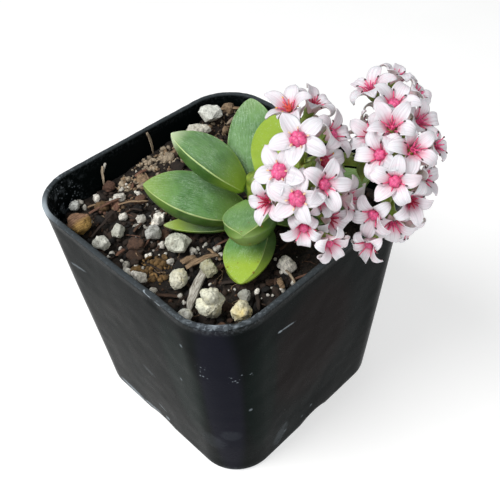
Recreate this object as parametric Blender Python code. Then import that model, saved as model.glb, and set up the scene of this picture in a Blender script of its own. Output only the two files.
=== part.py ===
"""A flowering crassula in a small square nursery pot.

The frame: the origin is the centre of the pot's flat underside, +Z is up, and the walls face +-X and +-Y.
All lengths in the tables are in millimetres and all angles in degrees. MM turns a length into metres.
"""

import math

import bmesh
import bpy
from mathutils import Matrix, Vector, noise
from mathutils.bvhtree import BVHTree

MM = 0.001
GAP = 0.3  # clearance between pieces that touch
SHARP_ANGLE = 35.0  # edges sharper than this stay crisp under smooth shading

# ---------------------------------------------------------------------------------------------- driving sizes

# Pot
POT_HEIGHT = 57.5
POT_TOP_HALF = 30.0
POT_BOTTOM_HALF = 25.8
POT_TOP_RADIUS = 11.0
POT_BOTTOM_RADIUS = 9.7
POT_WALL = 0.9
POT_FLOOR = 2.6
RIM_HEIGHT = 1.6
RIM_PROUD = 0.15
RIM_LEDGE = 0.3  # height over which the rim band stands out from the wall
RIM_EDGE = 0.2  # chamfer along the rim's top
FOOT_ROUNDING = 1.2
FOOT_STEPS = 3
CORNER_STEPS = 7
SLOT_WIDTH = 12.0  # the air slots under the walls are arcs of a circle
SLOT_DEPTH = 5.0
SLOT_HEIGHT = 2.2
SLOT_SIDES = 40
DRAIN_RADIUS = 2.5
DRAIN_OFFSET = 13.0
DRAIN_SIDES = 14

# Soil
SOIL_LEVEL = 49.6
SOIL_SWELL = 0.35
SOIL_RINGS = (0.93, 0.78, 0.6, 0.4, 0.2)  # shares of the wall's outline
SOIL_SHOULDER = 1.0  # depth below its level at which the soil's side begins
SOIL_HEAP = 4.4  # how much higher the soil is heaped up in the back corner
SOIL_HEAP_AT = (25.0, 25.5)
SOIL_HEAP_SPREAD = 11.0

# Plant
STEM_AT = (2.5, -7.5)
STEM_RADIUS = 2.3
STEM_TAPER = 0.12
STEM_FOOT = 42.0
STEM_TOP = 62.5
STEM_STEPS = 6
STEM_SIDES = 14
SOCKET_SIDES = 20
LEAF_SECTIONS = 9
LEAF_BASE_WIDTH = 0.40  # shares of the leaf's largest width and thickness
LEAF_BASE_THICKNESS = 0.5
LEAF_WIDEST = 0.45  # share of the length at which it is widest
LEAF_BLUNTNESS = 2.2
LEAF_LAST_SHARE = 0.998  # the tip closes a hair before the outline's end
# across and up, as shares of the half width and the thickness: nearly flat above, round below
LEAF_SECTION = (
    (1.0, 0.0),
    (0.5, -0.04),
    (0.0, -0.06),
    (-0.5, -0.04),
    (-1.0, 0.0),
    (-0.72, -0.72),
    (0.0, -1.0),
    (0.72, -0.72),
)

# Flowers
PETALS = 5
PETAL_LENGTH = 4.7
PETAL_NOTCH = 1.7  # radius at which neighbouring petals part
PETAL_SHOULDER = 0.55  # share of its free length at which a petal is widest
PETAL_HALF_WIDTH = 1.35
PETAL_THICKNESS = 0.35
CUP_RISE = 1.8  # height of the petal tips above the notches
EYE_RADIUS = 1.3
EYE_HEIGHT = 1.0
EYE_BASE = 0.3
CALYX_RADIUS = 0.8
CALYX_DEPTH = 2.4
CALYX_TOP = -0.7
SHORTEST_PETAL = 2.3
PETAL_STEP = 0.35

# Flower stalks
STALK_RADIUS = 0.95
STALK_SIDES = 8
STALK_STEPS = 3  # points of the smooth route for each given one
HUB_RADIUS = 1.9
PEDICEL_RADIUS = 0.5
PEDICEL_SIDES = 6
PEDICEL_BEND = 0.35  # share of its length over which a pedicel runs straight behind its flower
HEAD_TURN = 47.0  # each flower head is longest along this direction
HEAD_HALF_SIZES = (12.5, 7.0, 11.5)
LIGHT = (-0.50, -0.53, 0.68)  # the flowers lean from their dome's normal towards the light
LIGHT_LEAN = 0.55

# name: base height, direction, pitch at the base, pitch at the tip, length, width, thickness, roll,
# and the outline's taper, from 0.5 for a round tip to 1 for a pointed one
LEAVES = {
    "leaf_low_left": (51.2, 140, 3, 4, 17.3, 7.2, 1.3, 12, 0.80),
    "leaf_low_right": (51.4, 318, 2, 8, 17.0, 7.5, 1.6, 0, 0.80),
    "leaf_low_front": (53.6, 214, 2, -10, 17.2, 10.6, 3.2, 15, 0.70),
    "leaf_back": (56.0, 48, 41, 50, 20.0, 11.0, 4.0, 0, 0.68),
    "leaf_left": (53.8, 138, 36, 11.5, 22.0, 12.7, 5.7, -5, 0.84),
    "leaf_right": (54.2, 321, 24, 8, 21.5, 11.5, 4.0, 0, 0.80),
    "leaf_front": (59.3, 216.5, 22, 7, 16.6, 10.6, 5.5, 14, 0.66),
    "leaf_behind_flowers": (60.2, 15, 62, 72, 13.2, 8.2, 2.6, 0, 0.80),
    "leaf_upper_left": (59.7, 116.5, 57.5, 10.3, 18.6, 11.2, 4.8, 7.5, 0.85),
    "leaf_upper_right": (60.6, 297, 22, 2, 15.5, 9.5, 3.2, 0, 0.80),
}

# the centre of each head's dome
HEAD_CENTRES = {
    "left": (0.5, -20.5, 72.0),
    "right": (13.0, -30.5, 72.0),
}

# each stalk's route from the stem's top to its hub
STALK_ROUTES = {
    "left": ((2.0, -8.2, 63.6), (2.2, -12.5, 66.4), (1.6, -17.0, 68.2), (1.2, -19.8, 69.3)),
    "right": ((3.8, -8.0, 63.6), (9.0, -15.0, 66.2), (12.4, -21.5, 67.8), (13.4, -28.6, 69.4)),
}

# for each flower of a head: direction and height angle on the dome, reach as a share of the dome, spin
FLOWERS = {
    "left": (
        (51, 72, 1.00, 52),
        (165, 61, 1.06, 52),
        (-88, 37, 0.98, 36),
        (139, 31, 1.04, 0),
        (-121, 32, 0.72, 48),
        (123, -5, 1.05, 56),
        (167, 16, 1.02, 12),
        (-155, 24, 1.05, 56),
        (-116, -9, 1.20, 4),
        (176, -14, 1.02, 56),
        (-134, -27, 1.00, 24),
        (-154, -21, 1.30, 4),
        (-40, 53, 1.00, 16),
    ),
    "right": (
        (35, 52, 1.12, 4),
        (88, 88, 1.00, 64),
        (154, 61, 1.08, 64),
        (100, 44, 0.78, 36),
        (-97, 51, 0.92, 32),
        (-164, 45, 1.04, 24),
        (141, 37, 1.02, 56),
        (-111, 27, 1.08, 36),
        (166, 22, 1.06, 16),
        (144, -20, 1.04, 52),
        (176, -38, 0.94, 64),
        (-134, -55, 1.15, 16),
        (-167, -1, 0.93, 64),
        (144, -36, 1.40, 52),
        (-21, 49, 1.24, 32),
        (-53, 41, 1.18, 64),
    ),
}

# name: place on the soil, three half sizes, turn
STONES = {
    "stone_front_twin": ((-21.3, -18.5), (2.9, 2.7, 3.7), 20),
    "stone_front_block": ((-18.5, -23.5), (2.2, 2.0, 2.1), 10),
    "stone_front_grey": ((-14.9, -20.6), (1.6, 1.3, 1.2), 30),
    "stone_cream_angular": ((-20.5, -8.5), (2.2, 2.1, 2.1), 50),
    "stone_cream_round": ((-14.8, -10.8), (1.7, 1.8, 1.9), 0),
    "stone_by_rim": ((-25.6, -16.0), (1.6, 1.5, 1.4), 75),
    "stone_smooth_white": ((-14.2, -0.6), (2.9, 2.2, 1.9), 130),
    "stone_left_grey": ((-15.2, 5.8), (1.9, 1.8, 1.6), 15),
    "stone_left_pale": ((-19.6, 11.9), (1.7, 1.4, 1.3), 60),
    "stone_left_rim": ((-24.3, 11.4), (2.1, 1.6, 1.4), 100),
    "stone_left_corner": ((-20.9, 26.2), (1.3, 1.2, 1.1), 35),
    "stone_back_white": ((18.8, 24.5), (3.0, 2.3, 2.1), -40),
    "stone_sandy": ((13.9, 23.9), (3.4, 2.0, 1.6), -35),
}
TWIN_STONE = "stone_front_twin"  # two lumps grown together, the upper one smaller
TWIN_WAIST_AT = 0.25  # height of the waist, as the sine of the angle above the middle
TWIN_WAIST_DEPTH = 0.22
TWIN_WAIST_WIDTH = 0.17
TWIN_UPPER = 0.86
LUMP_GRAIN = 1.7  # how many bumps a lump has round it
STONE_ROUGHNESS = 0.35
BARK_ROUGHNESS = 0.25

# name: place on the soil, three half sizes, turn
BARK_CHIPS = {
    "bark_chip_left": ((-24.1, 19.2), (3.0, 2.5, 2.1), 105),
    "bark_chip_front": ((-15.0, -4.8), (3.8, 0.8, 0.6), 158),
    "bark_chip_right": ((-7.5, -23.0), (2.9, 0.6, 0.5), 59),
}

# name: base colour, roughness
MATERIALS = {
    "pot_plastic": ((0.018, 0.019, 0.022), 0.42),
    "soil": ((0.030, 0.020, 0.014), 0.95),
    "stem_green": ((0.20, 0.27, 0.09), 0.55),
    "leaf_green": ((0.12, 0.26, 0.09), 0.45),
    "stalk_green": ((0.26, 0.33, 0.07), 0.50),
    "petal": ((0.86, 0.74, 0.78), 0.50),
    "pumice": ((0.68, 0.62, 0.48), 0.90),
    "bark": ((0.11, 0.060, 0.032), 0.85),
}


# ---------------------------------------------------------------------------------------------- helpers


def clear_scene():
    for old in list(bpy.data.objects):
        bpy.data.objects.remove(old, do_unlink=True)


def make_material(name):
    colour, roughness = MATERIALS[name]
    material = bpy.data.materials.new(name)
    material.use_nodes = True
    shader = material.node_tree.nodes["Principled BSDF"]
    shader.inputs["Base Color"].default_value = (*colour, 1.0)
    shader.inputs["Roughness"].default_value = roughness
    shader.inputs["Metallic"].default_value = 0.0
    return material


def make_empty(name, parent=None):
    empty = bpy.data.objects.new(name, None)
    bpy.context.scene.collection.objects.link(empty)
    empty.parent = parent
    return empty


def make_object(name, mesh_bm, material, parent, place=(0.0, 0.0, 0.0), rotation=None):
    """Turns a bmesh in millimetres into a named object in metres, with its faces pointing out."""
    bmesh.ops.recalc_face_normals(mesh_bm, faces=mesh_bm.faces[:])
    bmesh.ops.scale(mesh_bm, vec=(MM, MM, MM), verts=mesh_bm.verts[:])
    mesh = bpy.data.meshes.new(name)
    mesh_bm.to_mesh(mesh)
    mesh_bm.free()
    obj = bpy.data.objects.new(name, mesh)
    obj.location = Vector(place) * MM
    if rotation is not None:
        obj.rotation_mode = "QUATERNION"
        obj.rotation_quaternion = rotation
    bpy.context.scene.collection.objects.link(obj)
    obj.parent = parent
    if material is not None:
        mesh.materials.append(material)
        mesh.shade_smooth()
        mesh.set_sharp_from_angle(angle=math.radians(SHARP_ANGLE))
    return obj


def loft(rings, close_start=True, close_end=True):
    """A closed skin over rings that have the same number of points."""
    bm = bmesh.new()
    rows = [[bm.verts.new(point) for point in ring] for ring in rings]
    for low, high in zip(rows, rows[1:]):
        for i in range(len(low)):
            j = (i + 1) % len(low)
            bm.faces.new((low[i], low[j], high[j], high[i]))
    if close_start:
        bm.faces.new(list(reversed(rows[0])))
    if close_end:
        bm.faces.new(rows[-1])
    return bm


def rounded_square(half, radius, z):
    """The points of a square of that half side with round corners, anticlockwise."""
    points = []
    for corner in range(4):
        start = math.radians(90 * corner)
        centre = Vector((half - radius, half - radius))
        turn = Matrix.Rotation(start, 2)
        for step in range(CORNER_STEPS + 1):
            angle = math.radians(90) * step / CORNER_STEPS
            local = turn @ (centre + radius * Vector((math.cos(angle), math.sin(angle))))
            points.append(Vector((local.x, local.y, z)))
    return points


def tube(route, radii, sides):
    """A closed tube along a smooth route; its cross-sections follow the route without twisting."""
    rings = []
    side = Vector((1, 0, 0))
    nearly_parallel = 0.95
    for i, (point, radius) in enumerate(zip(route, radii)):
        ahead = route[min(i + 1, len(route) - 1)]
        behind = route[max(i - 1, 0)]
        along = (ahead - behind).normalized()
        if abs(along.dot(side)) > nearly_parallel:
            side = Vector((0, 1, 0))
        side = (side - side.dot(along) * along).normalized()
        across = along.cross(side)
        angles = [2 * math.pi * k / sides for k in range(sides)]
        rings.append([point + radius * (side * math.cos(a) + across * math.sin(a)) for a in angles])
    return loft(rings)


def smooth_route(points, steps):
    """Points along a Catmull-Rom curve through the given ones."""
    knots = [Vector(p) for p in points]
    knots = [2 * knots[0] - knots[1], *knots, 2 * knots[-1] - knots[-2]]
    route = []
    for k in range(1, len(knots) - 2):
        a, b, c, d = knots[k - 1 : k + 3]
        for s in range(steps):
            t = s / steps
            bend = (2 * a - 5 * b + 4 * c - d) * t**2 + (3 * b - a - 3 * c + d) * t**3
            route.append((2 * b + (c - a) * t + bend) / 2)
    route.append(knots[-2])
    return route


def cut(target, cutter_bm, name):
    """Takes a cutter's shape out of a target."""
    cutter = make_object(name, cutter_bm, None, None)
    cutter.hide_render = True
    cutter.display_type = "WIRE"
    boolean = target.modifiers.new(name, "BOOLEAN")
    boolean.operation = "DIFFERENCE"
    boolean.object = cutter


# ---------------------------------------------------------------------------------------------- pot and soil


def pot_half(z):
    """Outer half side of the wall at height z, under the rim band."""
    return POT_BOTTOM_HALF + (POT_TOP_HALF - RIM_PROUD - POT_BOTTOM_HALF) * z / POT_HEIGHT


def pot_radius(z):
    return POT_BOTTOM_RADIUS + (POT_TOP_RADIUS - POT_BOTTOM_RADIUS) * z / POT_HEIGHT


def wall_ring(z, inset=0.0):
    return rounded_square(pot_half(z) - inset, pot_radius(z) - inset, z)


def slot_cutter(turn):
    """The air slot under the middle of one wall: a low arch, cut by a cylinder that lies mostly below it."""
    radius = (SLOT_WIDTH**2 / 4 + SLOT_HEIGHT**2) / (2 * SLOT_HEIGHT)
    centre = Vector((POT_BOTTOM_HALF, 0, SLOT_HEIGHT - radius))
    slot = bmesh.new()
    bmesh.ops.create_cone(
        slot,
        cap_ends=True,
        segments=SLOT_SIDES,
        radius1=radius,
        radius2=radius,
        depth=2 * SLOT_DEPTH,
        matrix=turn @ Matrix.Translation(centre) @ Matrix.Rotation(math.radians(90), 4, "Y"),
    )
    return slot


def drain_cutter(turn):
    """One of the four round holes in the floor."""
    drain = bmesh.new()
    at = turn @ Vector((DRAIN_OFFSET, DRAIN_OFFSET, 0))
    bmesh.ops.create_cone(
        drain,
        cap_ends=True,
        segments=DRAIN_SIDES,
        radius1=DRAIN_RADIUS,
        radius2=DRAIN_RADIUS,
        depth=4 * POT_FLOOR,
        matrix=Matrix.Translation(at),
    )
    return drain


def make_pot(material):
    rim_bottom = POT_HEIGHT - RIM_HEIGHT
    foot = FOOT_ROUNDING
    rounding = []
    for step in range(FOOT_STEPS + 1):
        angle = math.pi / 2 * step / FOOT_STEPS
        z = foot * (1 - math.cos(angle))
        half = pot_half(z) - foot * (1 - math.sin(angle))
        rounding.append(rounded_square(half, pot_radius(z) - foot / 2, z))
    outside = [
        *rounding,
        wall_ring(rim_bottom),
        wall_ring(rim_bottom + RIM_LEDGE, -RIM_PROUD),
        wall_ring(POT_HEIGHT - RIM_EDGE, -RIM_PROUD),
        wall_ring(POT_HEIGHT, -RIM_PROUD + RIM_EDGE),
    ]
    inside = [
        wall_ring(POT_HEIGHT, POT_WALL - RIM_EDGE),
        wall_ring(POT_HEIGHT - RIM_EDGE, POT_WALL),
        wall_ring(POT_FLOOR, POT_WALL),
    ]
    pot = make_object("pot", loft(outside + inside), material, None)
    for side in range(4):
        turn = Matrix.Rotation(math.radians(90 * side), 4, "Z")
        cut(pot, slot_cutter(turn), f"slot_cutter_{side + 1}")
        cut(pot, drain_cutter(turn), f"drain_cutter_{side + 1}")


def soil_height(x, y):
    """The soil's uneven top: low swells that cross each other, and a heap in the back corner."""
    swell = math.sin(0.21 * x + 1.0) * math.cos(0.17 * y - 0.4) + 0.6 * math.sin(0.33 * y + 0.2 * x)
    away = math.hypot(x - SOIL_HEAP_AT[0], y - SOIL_HEAP_AT[1]) / SOIL_HEAP_SPREAD
    return SOIL_LEVEL + SOIL_SWELL * swell + SOIL_HEAP * math.exp(-(away**2))


def make_soil(material):
    floor_z = POT_FLOOR + GAP
    inset = POT_WALL + GAP
    low = wall_ring(floor_z, inset)
    high = wall_ring(SOIL_LEVEL - SOIL_SHOULDER, inset)
    top_rings = []
    for share in (1.0, *SOIL_RINGS):
        ring = []
        for point in wall_ring(SOIL_LEVEL, inset):
            x = point.x * share
            y = point.y * share
            ring.append(Vector((x, y, soil_height(x, y))))
        top_rings.append(ring)
    soil = make_object("soil", loft([low, high, *top_rings]), material, None)
    socket = bmesh.new()
    bmesh.ops.create_cone(
        socket,
        cap_ends=True,
        segments=SOCKET_SIDES,
        radius1=STEM_RADIUS + 2 * GAP,
        radius2=STEM_RADIUS + 2 * GAP,
        depth=2 * (SOIL_LEVEL - STEM_FOOT + GAP),
        matrix=Matrix.Translation((*STEM_AT, SOIL_LEVEL)),
    )
    cut(soil, socket, "stem_socket_cutter")
    return soil


def make_stem(material, parent):
    route = []
    radii = []
    for i in range(STEM_STEPS + 1):
        share = i / STEM_STEPS
        route.append(Vector((*STEM_AT, STEM_FOOT + (STEM_TOP - STEM_FOOT) * share)))
        radii.append(STEM_RADIUS * (1 - STEM_TAPER * share**2))
    make_object("stem", tube(route, radii, STEM_SIDES), material, parent)


# ---------------------------------------------------------------------------------------------- leaves


def leaf_width(share, taper):
    """Half width along a leaf, as a share of its largest: a clasping base, then a tip with that taper."""
    if share < LEAF_WIDEST:
        return LEAF_BASE_WIDTH + (1 - LEAF_BASE_WIDTH) * math.sin(math.pi / 2 * share / LEAF_WIDEST)
    return (1 - ((share - LEAF_WIDEST) / (1 - LEAF_WIDEST)) ** LEAF_BLUNTNESS) ** taper


def leaf_thickness(share):
    """Thickness along a leaf, as a share of its largest."""
    if share < LEAF_WIDEST:
        return LEAF_BASE_THICKNESS + (1 - LEAF_BASE_THICKNESS) * math.sin(math.pi / 2 * share / LEAF_WIDEST)
    return math.sqrt(max(0.0, 1 - ((share - LEAF_WIDEST) / (1 - LEAF_WIDEST)) ** 2))


def leaf_mesh(pitch_base, pitch_tip, length, width, thickness, roll, taper):
    """A boat-shaped leaf along +X that bends from one pitch to the other."""
    rings = []
    point = Vector((0, 0, 0))
    spin = math.radians(roll)
    last_share = 0.0
    for i in range(LEAF_SECTIONS + 1):
        share = LEAF_LAST_SHARE * math.sin(math.pi / 2 * i / LEAF_SECTIONS)
        step_pitch = math.radians(pitch_base + (pitch_tip - pitch_base) * (share + last_share) / 2)
        step = (share - last_share) * length
        point = point + step * Vector((math.cos(step_pitch), 0, math.sin(step_pitch)))
        last_share = share
        pitch = math.radians(pitch_base + (pitch_tip - pitch_base) * share)
        up = Vector((-math.sin(pitch), 0, math.cos(pitch)))
        left = Vector((0, 1, 0))
        across = math.cos(spin) * left + math.sin(spin) * up
        above = -math.sin(spin) * left + math.cos(spin) * up
        half = width / 2 * leaf_width(share, taper)
        deep = thickness * leaf_thickness(share)
        rings.append([point + across * half * a + above * deep * b for a, b in LEAF_SECTION])
    return loft(rings)


def make_leaves(material, parent):
    for name, (height, direction, *shape) in LEAVES.items():
        heading = math.radians(direction)
        base_distance = STEM_RADIUS + GAP
        place = (
            STEM_AT[0] + base_distance * math.cos(heading),
            STEM_AT[1] + base_distance * math.sin(heading),
            height,
        )
        turn = Matrix.Rotation(heading, 3, "Z").to_quaternion()
        make_object(name, leaf_mesh(*shape), material, parent, place, turn)


# ---------------------------------------------------------------------------------------------- flowers


def dome_axes():
    turn = math.radians(HEAD_TURN)
    along = Vector((math.cos(turn), math.sin(turn), 0))
    return along, Vector((0, 0, 1)).cross(along), Vector((0, 0, 1))


def flower_seat(head, direction, height, reach):
    """Where a flower's centre lies on its head's dome, and the way it faces."""
    centre = Vector(HEAD_CENTRES[head])
    a = math.radians(direction)
    h = math.radians(height)
    shares = (math.cos(h) * math.cos(a), math.cos(h) * math.sin(a), math.sin(h))
    place = centre.copy()
    facing = Vector((0, 0, 0))
    for axis, half, share in zip(dome_axes(), HEAD_HALF_SIZES, shares):
        place += axis * half * share * reach
        facing += axis * share / half
    facing = facing.normalized() + LIGHT_LEAN * Vector(LIGHT).normalized()
    return place, facing.normalized()


def flower_rotation(facing, spin):
    turn = facing.to_track_quat("Z", "Y")
    return turn @ Matrix.Rotation(math.radians(spin), 3, "Z").to_quaternion()


def flower_mesh(lengths, inflate=0.0):
    """Five petals joined at the base round a low eye, over a small tapered calyx. +Z is the way it faces."""
    outline = []
    for petal, length in enumerate(lengths):
        middle = 2 * math.pi * petal / PETALS
        shoulder = PETAL_NOTCH + PETAL_SHOULDER * (length - PETAL_NOTCH)
        half_angle = math.atan2(PETAL_HALF_WIDTH, shoulder)
        outline.append((middle - math.pi / PETALS, PETAL_NOTCH))
        outline.append((middle - half_angle, math.hypot(shoulder, PETAL_HALF_WIDTH)))
        outline.append((middle, length))
        outline.append((middle + half_angle, math.hypot(shoulder, PETAL_HALF_WIDTH)))

    def ring(radius_of, height_of):
        points = []
        for angle, reach in outline:
            radius = radius_of(reach)
            points.append(Vector((radius * math.cos(angle), radius * math.sin(angle), height_of(reach))))
        return points

    def rise(reach):
        share = (reach - PETAL_NOTCH) / (PETAL_LENGTH - PETAL_NOTCH)
        return CUP_RISE * math.sin(math.pi / 2 * min(1.0, share))

    rings = [
        ring(lambda reach: CALYX_RADIUS + inflate, lambda reach: -CALYX_DEPTH),
        ring(lambda reach: EYE_RADIUS + inflate, lambda reach: CALYX_TOP),
        ring(lambda reach: reach + inflate, lambda reach: rise(reach) - PETAL_THICKNESS - inflate),
        ring(lambda reach: reach + inflate, lambda reach: rise(reach) + inflate),
        ring(lambda reach: EYE_RADIUS, lambda reach: EYE_BASE + inflate),
    ]
    bm = loft(rings, close_end=False)
    bm.verts.ensure_lookup_table()
    top = bm.verts[len(bm.verts) - len(outline) :]
    middle = bm.verts.new((0, 0, EYE_HEIGHT + inflate))
    for i in range(len(top)):
        bm.faces.new((top[i], top[(i + 1) % len(top)], middle))
    return bm


def petal_of_face(face):
    """Which petal a flower's face belongs to."""
    centre = face.calc_center_median()
    angle = math.atan2(centre.y, centre.x) % (2 * math.pi)
    return round(angle / (2 * math.pi / PETALS)) % PETALS


def flower_tree(lengths, placed):
    """A flower's swollen skin in place, as a search tree, and the petal that owns each of its faces."""
    bm = flower_mesh(lengths, GAP / 2)
    bmesh.ops.triangulate(bm, faces=bm.faces[:])
    owners = [petal_of_face(face) for face in bm.faces]
    bmesh.ops.transform(bm, matrix=placed, verts=bm.verts[:])
    tree = BVHTree.FromBMesh(bm)
    bm.free()
    return tree, owners


def grow_petals(placements, obstacles):
    """Petal lengths for every flower: all grow together, and each petal stops where it meets a neighbour."""
    lengths = [[SHORTEST_PETAL] * PETALS for _ in placements]
    trees = [flower_tree(own, placed)[0] for own, placed in zip(lengths, placements)]
    growing = [set(range(PETALS)) for _ in placements]
    rounds = round((PETAL_LENGTH - SHORTEST_PETAL) / PETAL_STEP)
    for _ in range(rounds):
        for i, placed in enumerate(placements):
            others = [tree for k, tree in enumerate(trees) if k != i]
            others += [tree for k, tree in enumerate(obstacles) if k != i]
            while growing[i]:
                tried = [own + PETAL_STEP * (petal in growing[i]) for petal, own in enumerate(lengths[i])]
                tree, owners = flower_tree(tried, placed)
                hit = {owners[face] for other in others for face, _ in tree.overlap(other)}
                if not hit & growing[i]:
                    lengths[i] = tried
                    trees[i] = tree
                    break
                growing[i] -= hit
    return lengths


def pedicel_route(head, place, facing):
    """The short stalk's line from the hub to one gap below the calyx."""
    hub_at = Vector(STALK_ROUTES[head][-1])
    tip = place - facing * (CALYX_DEPTH + GAP)
    bend = tip - facing * (tip - hub_at).length * PEDICEL_BEND
    return smooth_route((hub_at, hub_at.lerp(bend, 0.5), bend, tip), 1)


def pedicel_mesh(route, swell=0.0):
    return tube(route, [PEDICEL_RADIUS + swell] * len(route), PEDICEL_SIDES)


def make_flowers(material, parent):
    """Every flower of both heads. Returns each head's pedicel routes."""
    names = []
    seats = []
    for head, table in FLOWERS.items():
        for number, (direction, height, reach, spin) in enumerate(table, start=1):
            place, facing = flower_seat(head, direction, height, reach)
            names.append(f"flower_{head}_{number:02d}")
            seats.append((head, place, facing, flower_rotation(facing, spin)))
    placements = []
    obstacles = []
    routes = {head: [] for head in FLOWERS}
    for head, place, facing, rotation in seats:
        placements.append(Matrix.Translation(place) @ rotation.to_matrix().to_4x4())
        routes[head].append(pedicel_route(head, place, facing))
        pedicel = pedicel_mesh(routes[head][-1], GAP / 2)
        obstacles.append(BVHTree.FromBMesh(pedicel))
        pedicel.free()
    lengths = grow_petals(placements, obstacles)
    for name, (_, place, _, rotation), own in zip(names, seats, lengths):
        make_object(name, flower_mesh(own), material, parent, place, rotation)
    return routes


def make_stalk(head, pedicel_routes, material, parent):
    """A head's stalk: the bent main stalk, the hub where it branches, and one short stalk to each flower."""
    route = smooth_route(STALK_ROUTES[head], STALK_STEPS)
    radii = [STALK_RADIUS] * len(route)
    stalk = make_object(f"flower_stalk_{head}", tube(route, radii, STALK_SIDES), material, parent)
    hub = bmesh.new()
    bmesh.ops.create_icosphere(hub, subdivisions=1, radius=HUB_RADIUS, matrix=Matrix.Translation(route[-1]))
    pieces = [hub, *(pedicel_mesh(pedicel) for pedicel in pedicel_routes)]
    branches = bpy.data.collections.new(f"branches_{head}")
    bpy.context.scene.collection.children.link(branches)
    for number, piece in enumerate(pieces):
        branch = make_object(f"branch_{head}_{number}", piece, None, None)
        bpy.context.scene.collection.objects.unlink(branch)
        branches.objects.link(branch)
        branch.hide_render = True
        branch.display_type = "WIRE"
    union = stalk.modifiers.new("branches", "BOOLEAN")
    union.operation = "UNION"
    union.operand_type = "COLLECTION"
    union.collection = branches


# ---------------------------------------------------------------------------------------------- loose pieces


def lump_radius(direction, half_sizes, seed, roughness, twin):
    """Distance from a stone's centre to its surface in one direction."""
    scaled = [direction[k] / half_sizes[k] for k in range(3)]
    radius = 1.0 / math.sqrt(sum(s * s for s in scaled))
    wobble = noise.noise(direction * LUMP_GRAIN + Vector((seed, 2.0 * seed, -seed)))
    if twin:
        above_waist = direction.z - TWIN_WAIST_AT
        radius *= 1 - TWIN_WAIST_DEPTH * math.exp(-((above_waist / TWIN_WAIST_WIDTH) ** 2))
        radius *= TWIN_UPPER if above_waist > 0 else 1.0
    return radius * (1 + roughness * wobble)


def lump_mesh(half_sizes, seed, roughness, twin=False):
    bm = bmesh.new()
    bmesh.ops.create_icosphere(bm, subdivisions=2, radius=1.0)
    for vert in bm.verts:
        direction = vert.co.normalized()
        vert.co = direction * lump_radius(direction, half_sizes, seed, roughness, twin)
    return bm


def set_down(bm, place, turn, soil_tree):
    """How high a piece's centre lies when its underside is one gap above the soil."""
    rotation = Matrix.Rotation(turn, 4, "Z")
    start = 2 * POT_HEIGHT
    drops = []
    for vert in bm.verts:
        point = rotation @ vert.co + Vector((*place, start))
        hit = soil_tree.ray_cast(point, Vector((0, 0, -1)))[0]
        if hit is not None:
            drops.append(point.z - hit.z)
    return start - min(drops) + GAP


def make_lumps(table, roughness, material, parent, soil_tree):
    for seed, (name, (place, half_sizes, turn_deg)) in enumerate(table.items(), start=1):
        turn = math.radians(turn_deg)
        bm = lump_mesh(half_sizes, seed, roughness, twin=name == TWIN_STONE)
        height = set_down(bm, place, turn, soil_tree)
        rotation = Matrix.Rotation(turn, 3, "Z").to_quaternion()
        make_object(name, bm, material, parent, (*place, height), rotation)


def soil_surface(soil):
    """The soil's uncut skin, in millimetres, to set loose pieces on."""
    verts = [v.co / MM for v in soil.data.vertices]
    faces = [tuple(p.vertices) for p in soil.data.polygons]
    return BVHTree.FromPolygons(verts, faces)


def main():
    clear_scene()
    materials = {name: make_material(name) for name in MATERIALS}
    make_pot(materials["pot_plastic"])
    soil = make_soil(materials["soil"])
    soil_tree = soil_surface(soil)
    plant = make_empty("plant")
    make_stem(materials["stem_green"], plant)
    make_leaves(materials["leaf_green"], plant)
    inflorescence = make_empty("inflorescence", plant)
    pedicel_routes = make_flowers(materials["petal"], inflorescence)
    for head, routes in pedicel_routes.items():
        make_stalk(head, routes, materials["stalk_green"], inflorescence)
    dressing = make_empty("top_dressing")
    make_lumps(STONES, STONE_ROUGHNESS, materials["pumice"], dressing, soil_tree)
    make_lumps(BARK_CHIPS, BARK_ROUGHNESS, materials["bark"], dressing, soil_tree)


main()
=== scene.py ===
"""The looks of a flowering crassula in a small square nursery pot.

The tables hold millimetres and degrees in the frame's own axes: the origin is the centre of the pot's
underside and +Z is up. MM turns a length into metres. Every piece is built in place, so each object's
origin is the frame's.
"""

import random
from math import asin, atan2, cos, degrees, exp, hypot, pi, radians, sin, sqrt

import bmesh
import bpy
from mathutils import Matrix, Vector, noise
from mathutils.bvhtree import BVHTree


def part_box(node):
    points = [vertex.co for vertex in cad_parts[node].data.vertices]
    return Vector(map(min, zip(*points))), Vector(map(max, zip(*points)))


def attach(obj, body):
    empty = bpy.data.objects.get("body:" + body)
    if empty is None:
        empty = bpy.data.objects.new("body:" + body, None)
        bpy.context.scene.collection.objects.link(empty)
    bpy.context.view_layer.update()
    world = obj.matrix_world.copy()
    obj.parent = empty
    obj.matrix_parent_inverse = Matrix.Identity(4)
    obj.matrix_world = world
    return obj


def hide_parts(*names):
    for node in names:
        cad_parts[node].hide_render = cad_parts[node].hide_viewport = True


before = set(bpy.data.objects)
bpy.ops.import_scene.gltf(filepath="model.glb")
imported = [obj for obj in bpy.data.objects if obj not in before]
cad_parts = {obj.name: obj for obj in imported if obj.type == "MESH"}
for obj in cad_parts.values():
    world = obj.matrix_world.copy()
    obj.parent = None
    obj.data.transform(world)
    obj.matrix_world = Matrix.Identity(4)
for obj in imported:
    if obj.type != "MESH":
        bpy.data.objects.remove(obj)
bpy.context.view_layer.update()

MM = 0.001
UP = Vector((0, 0, 1))

# ----- sizes

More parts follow.
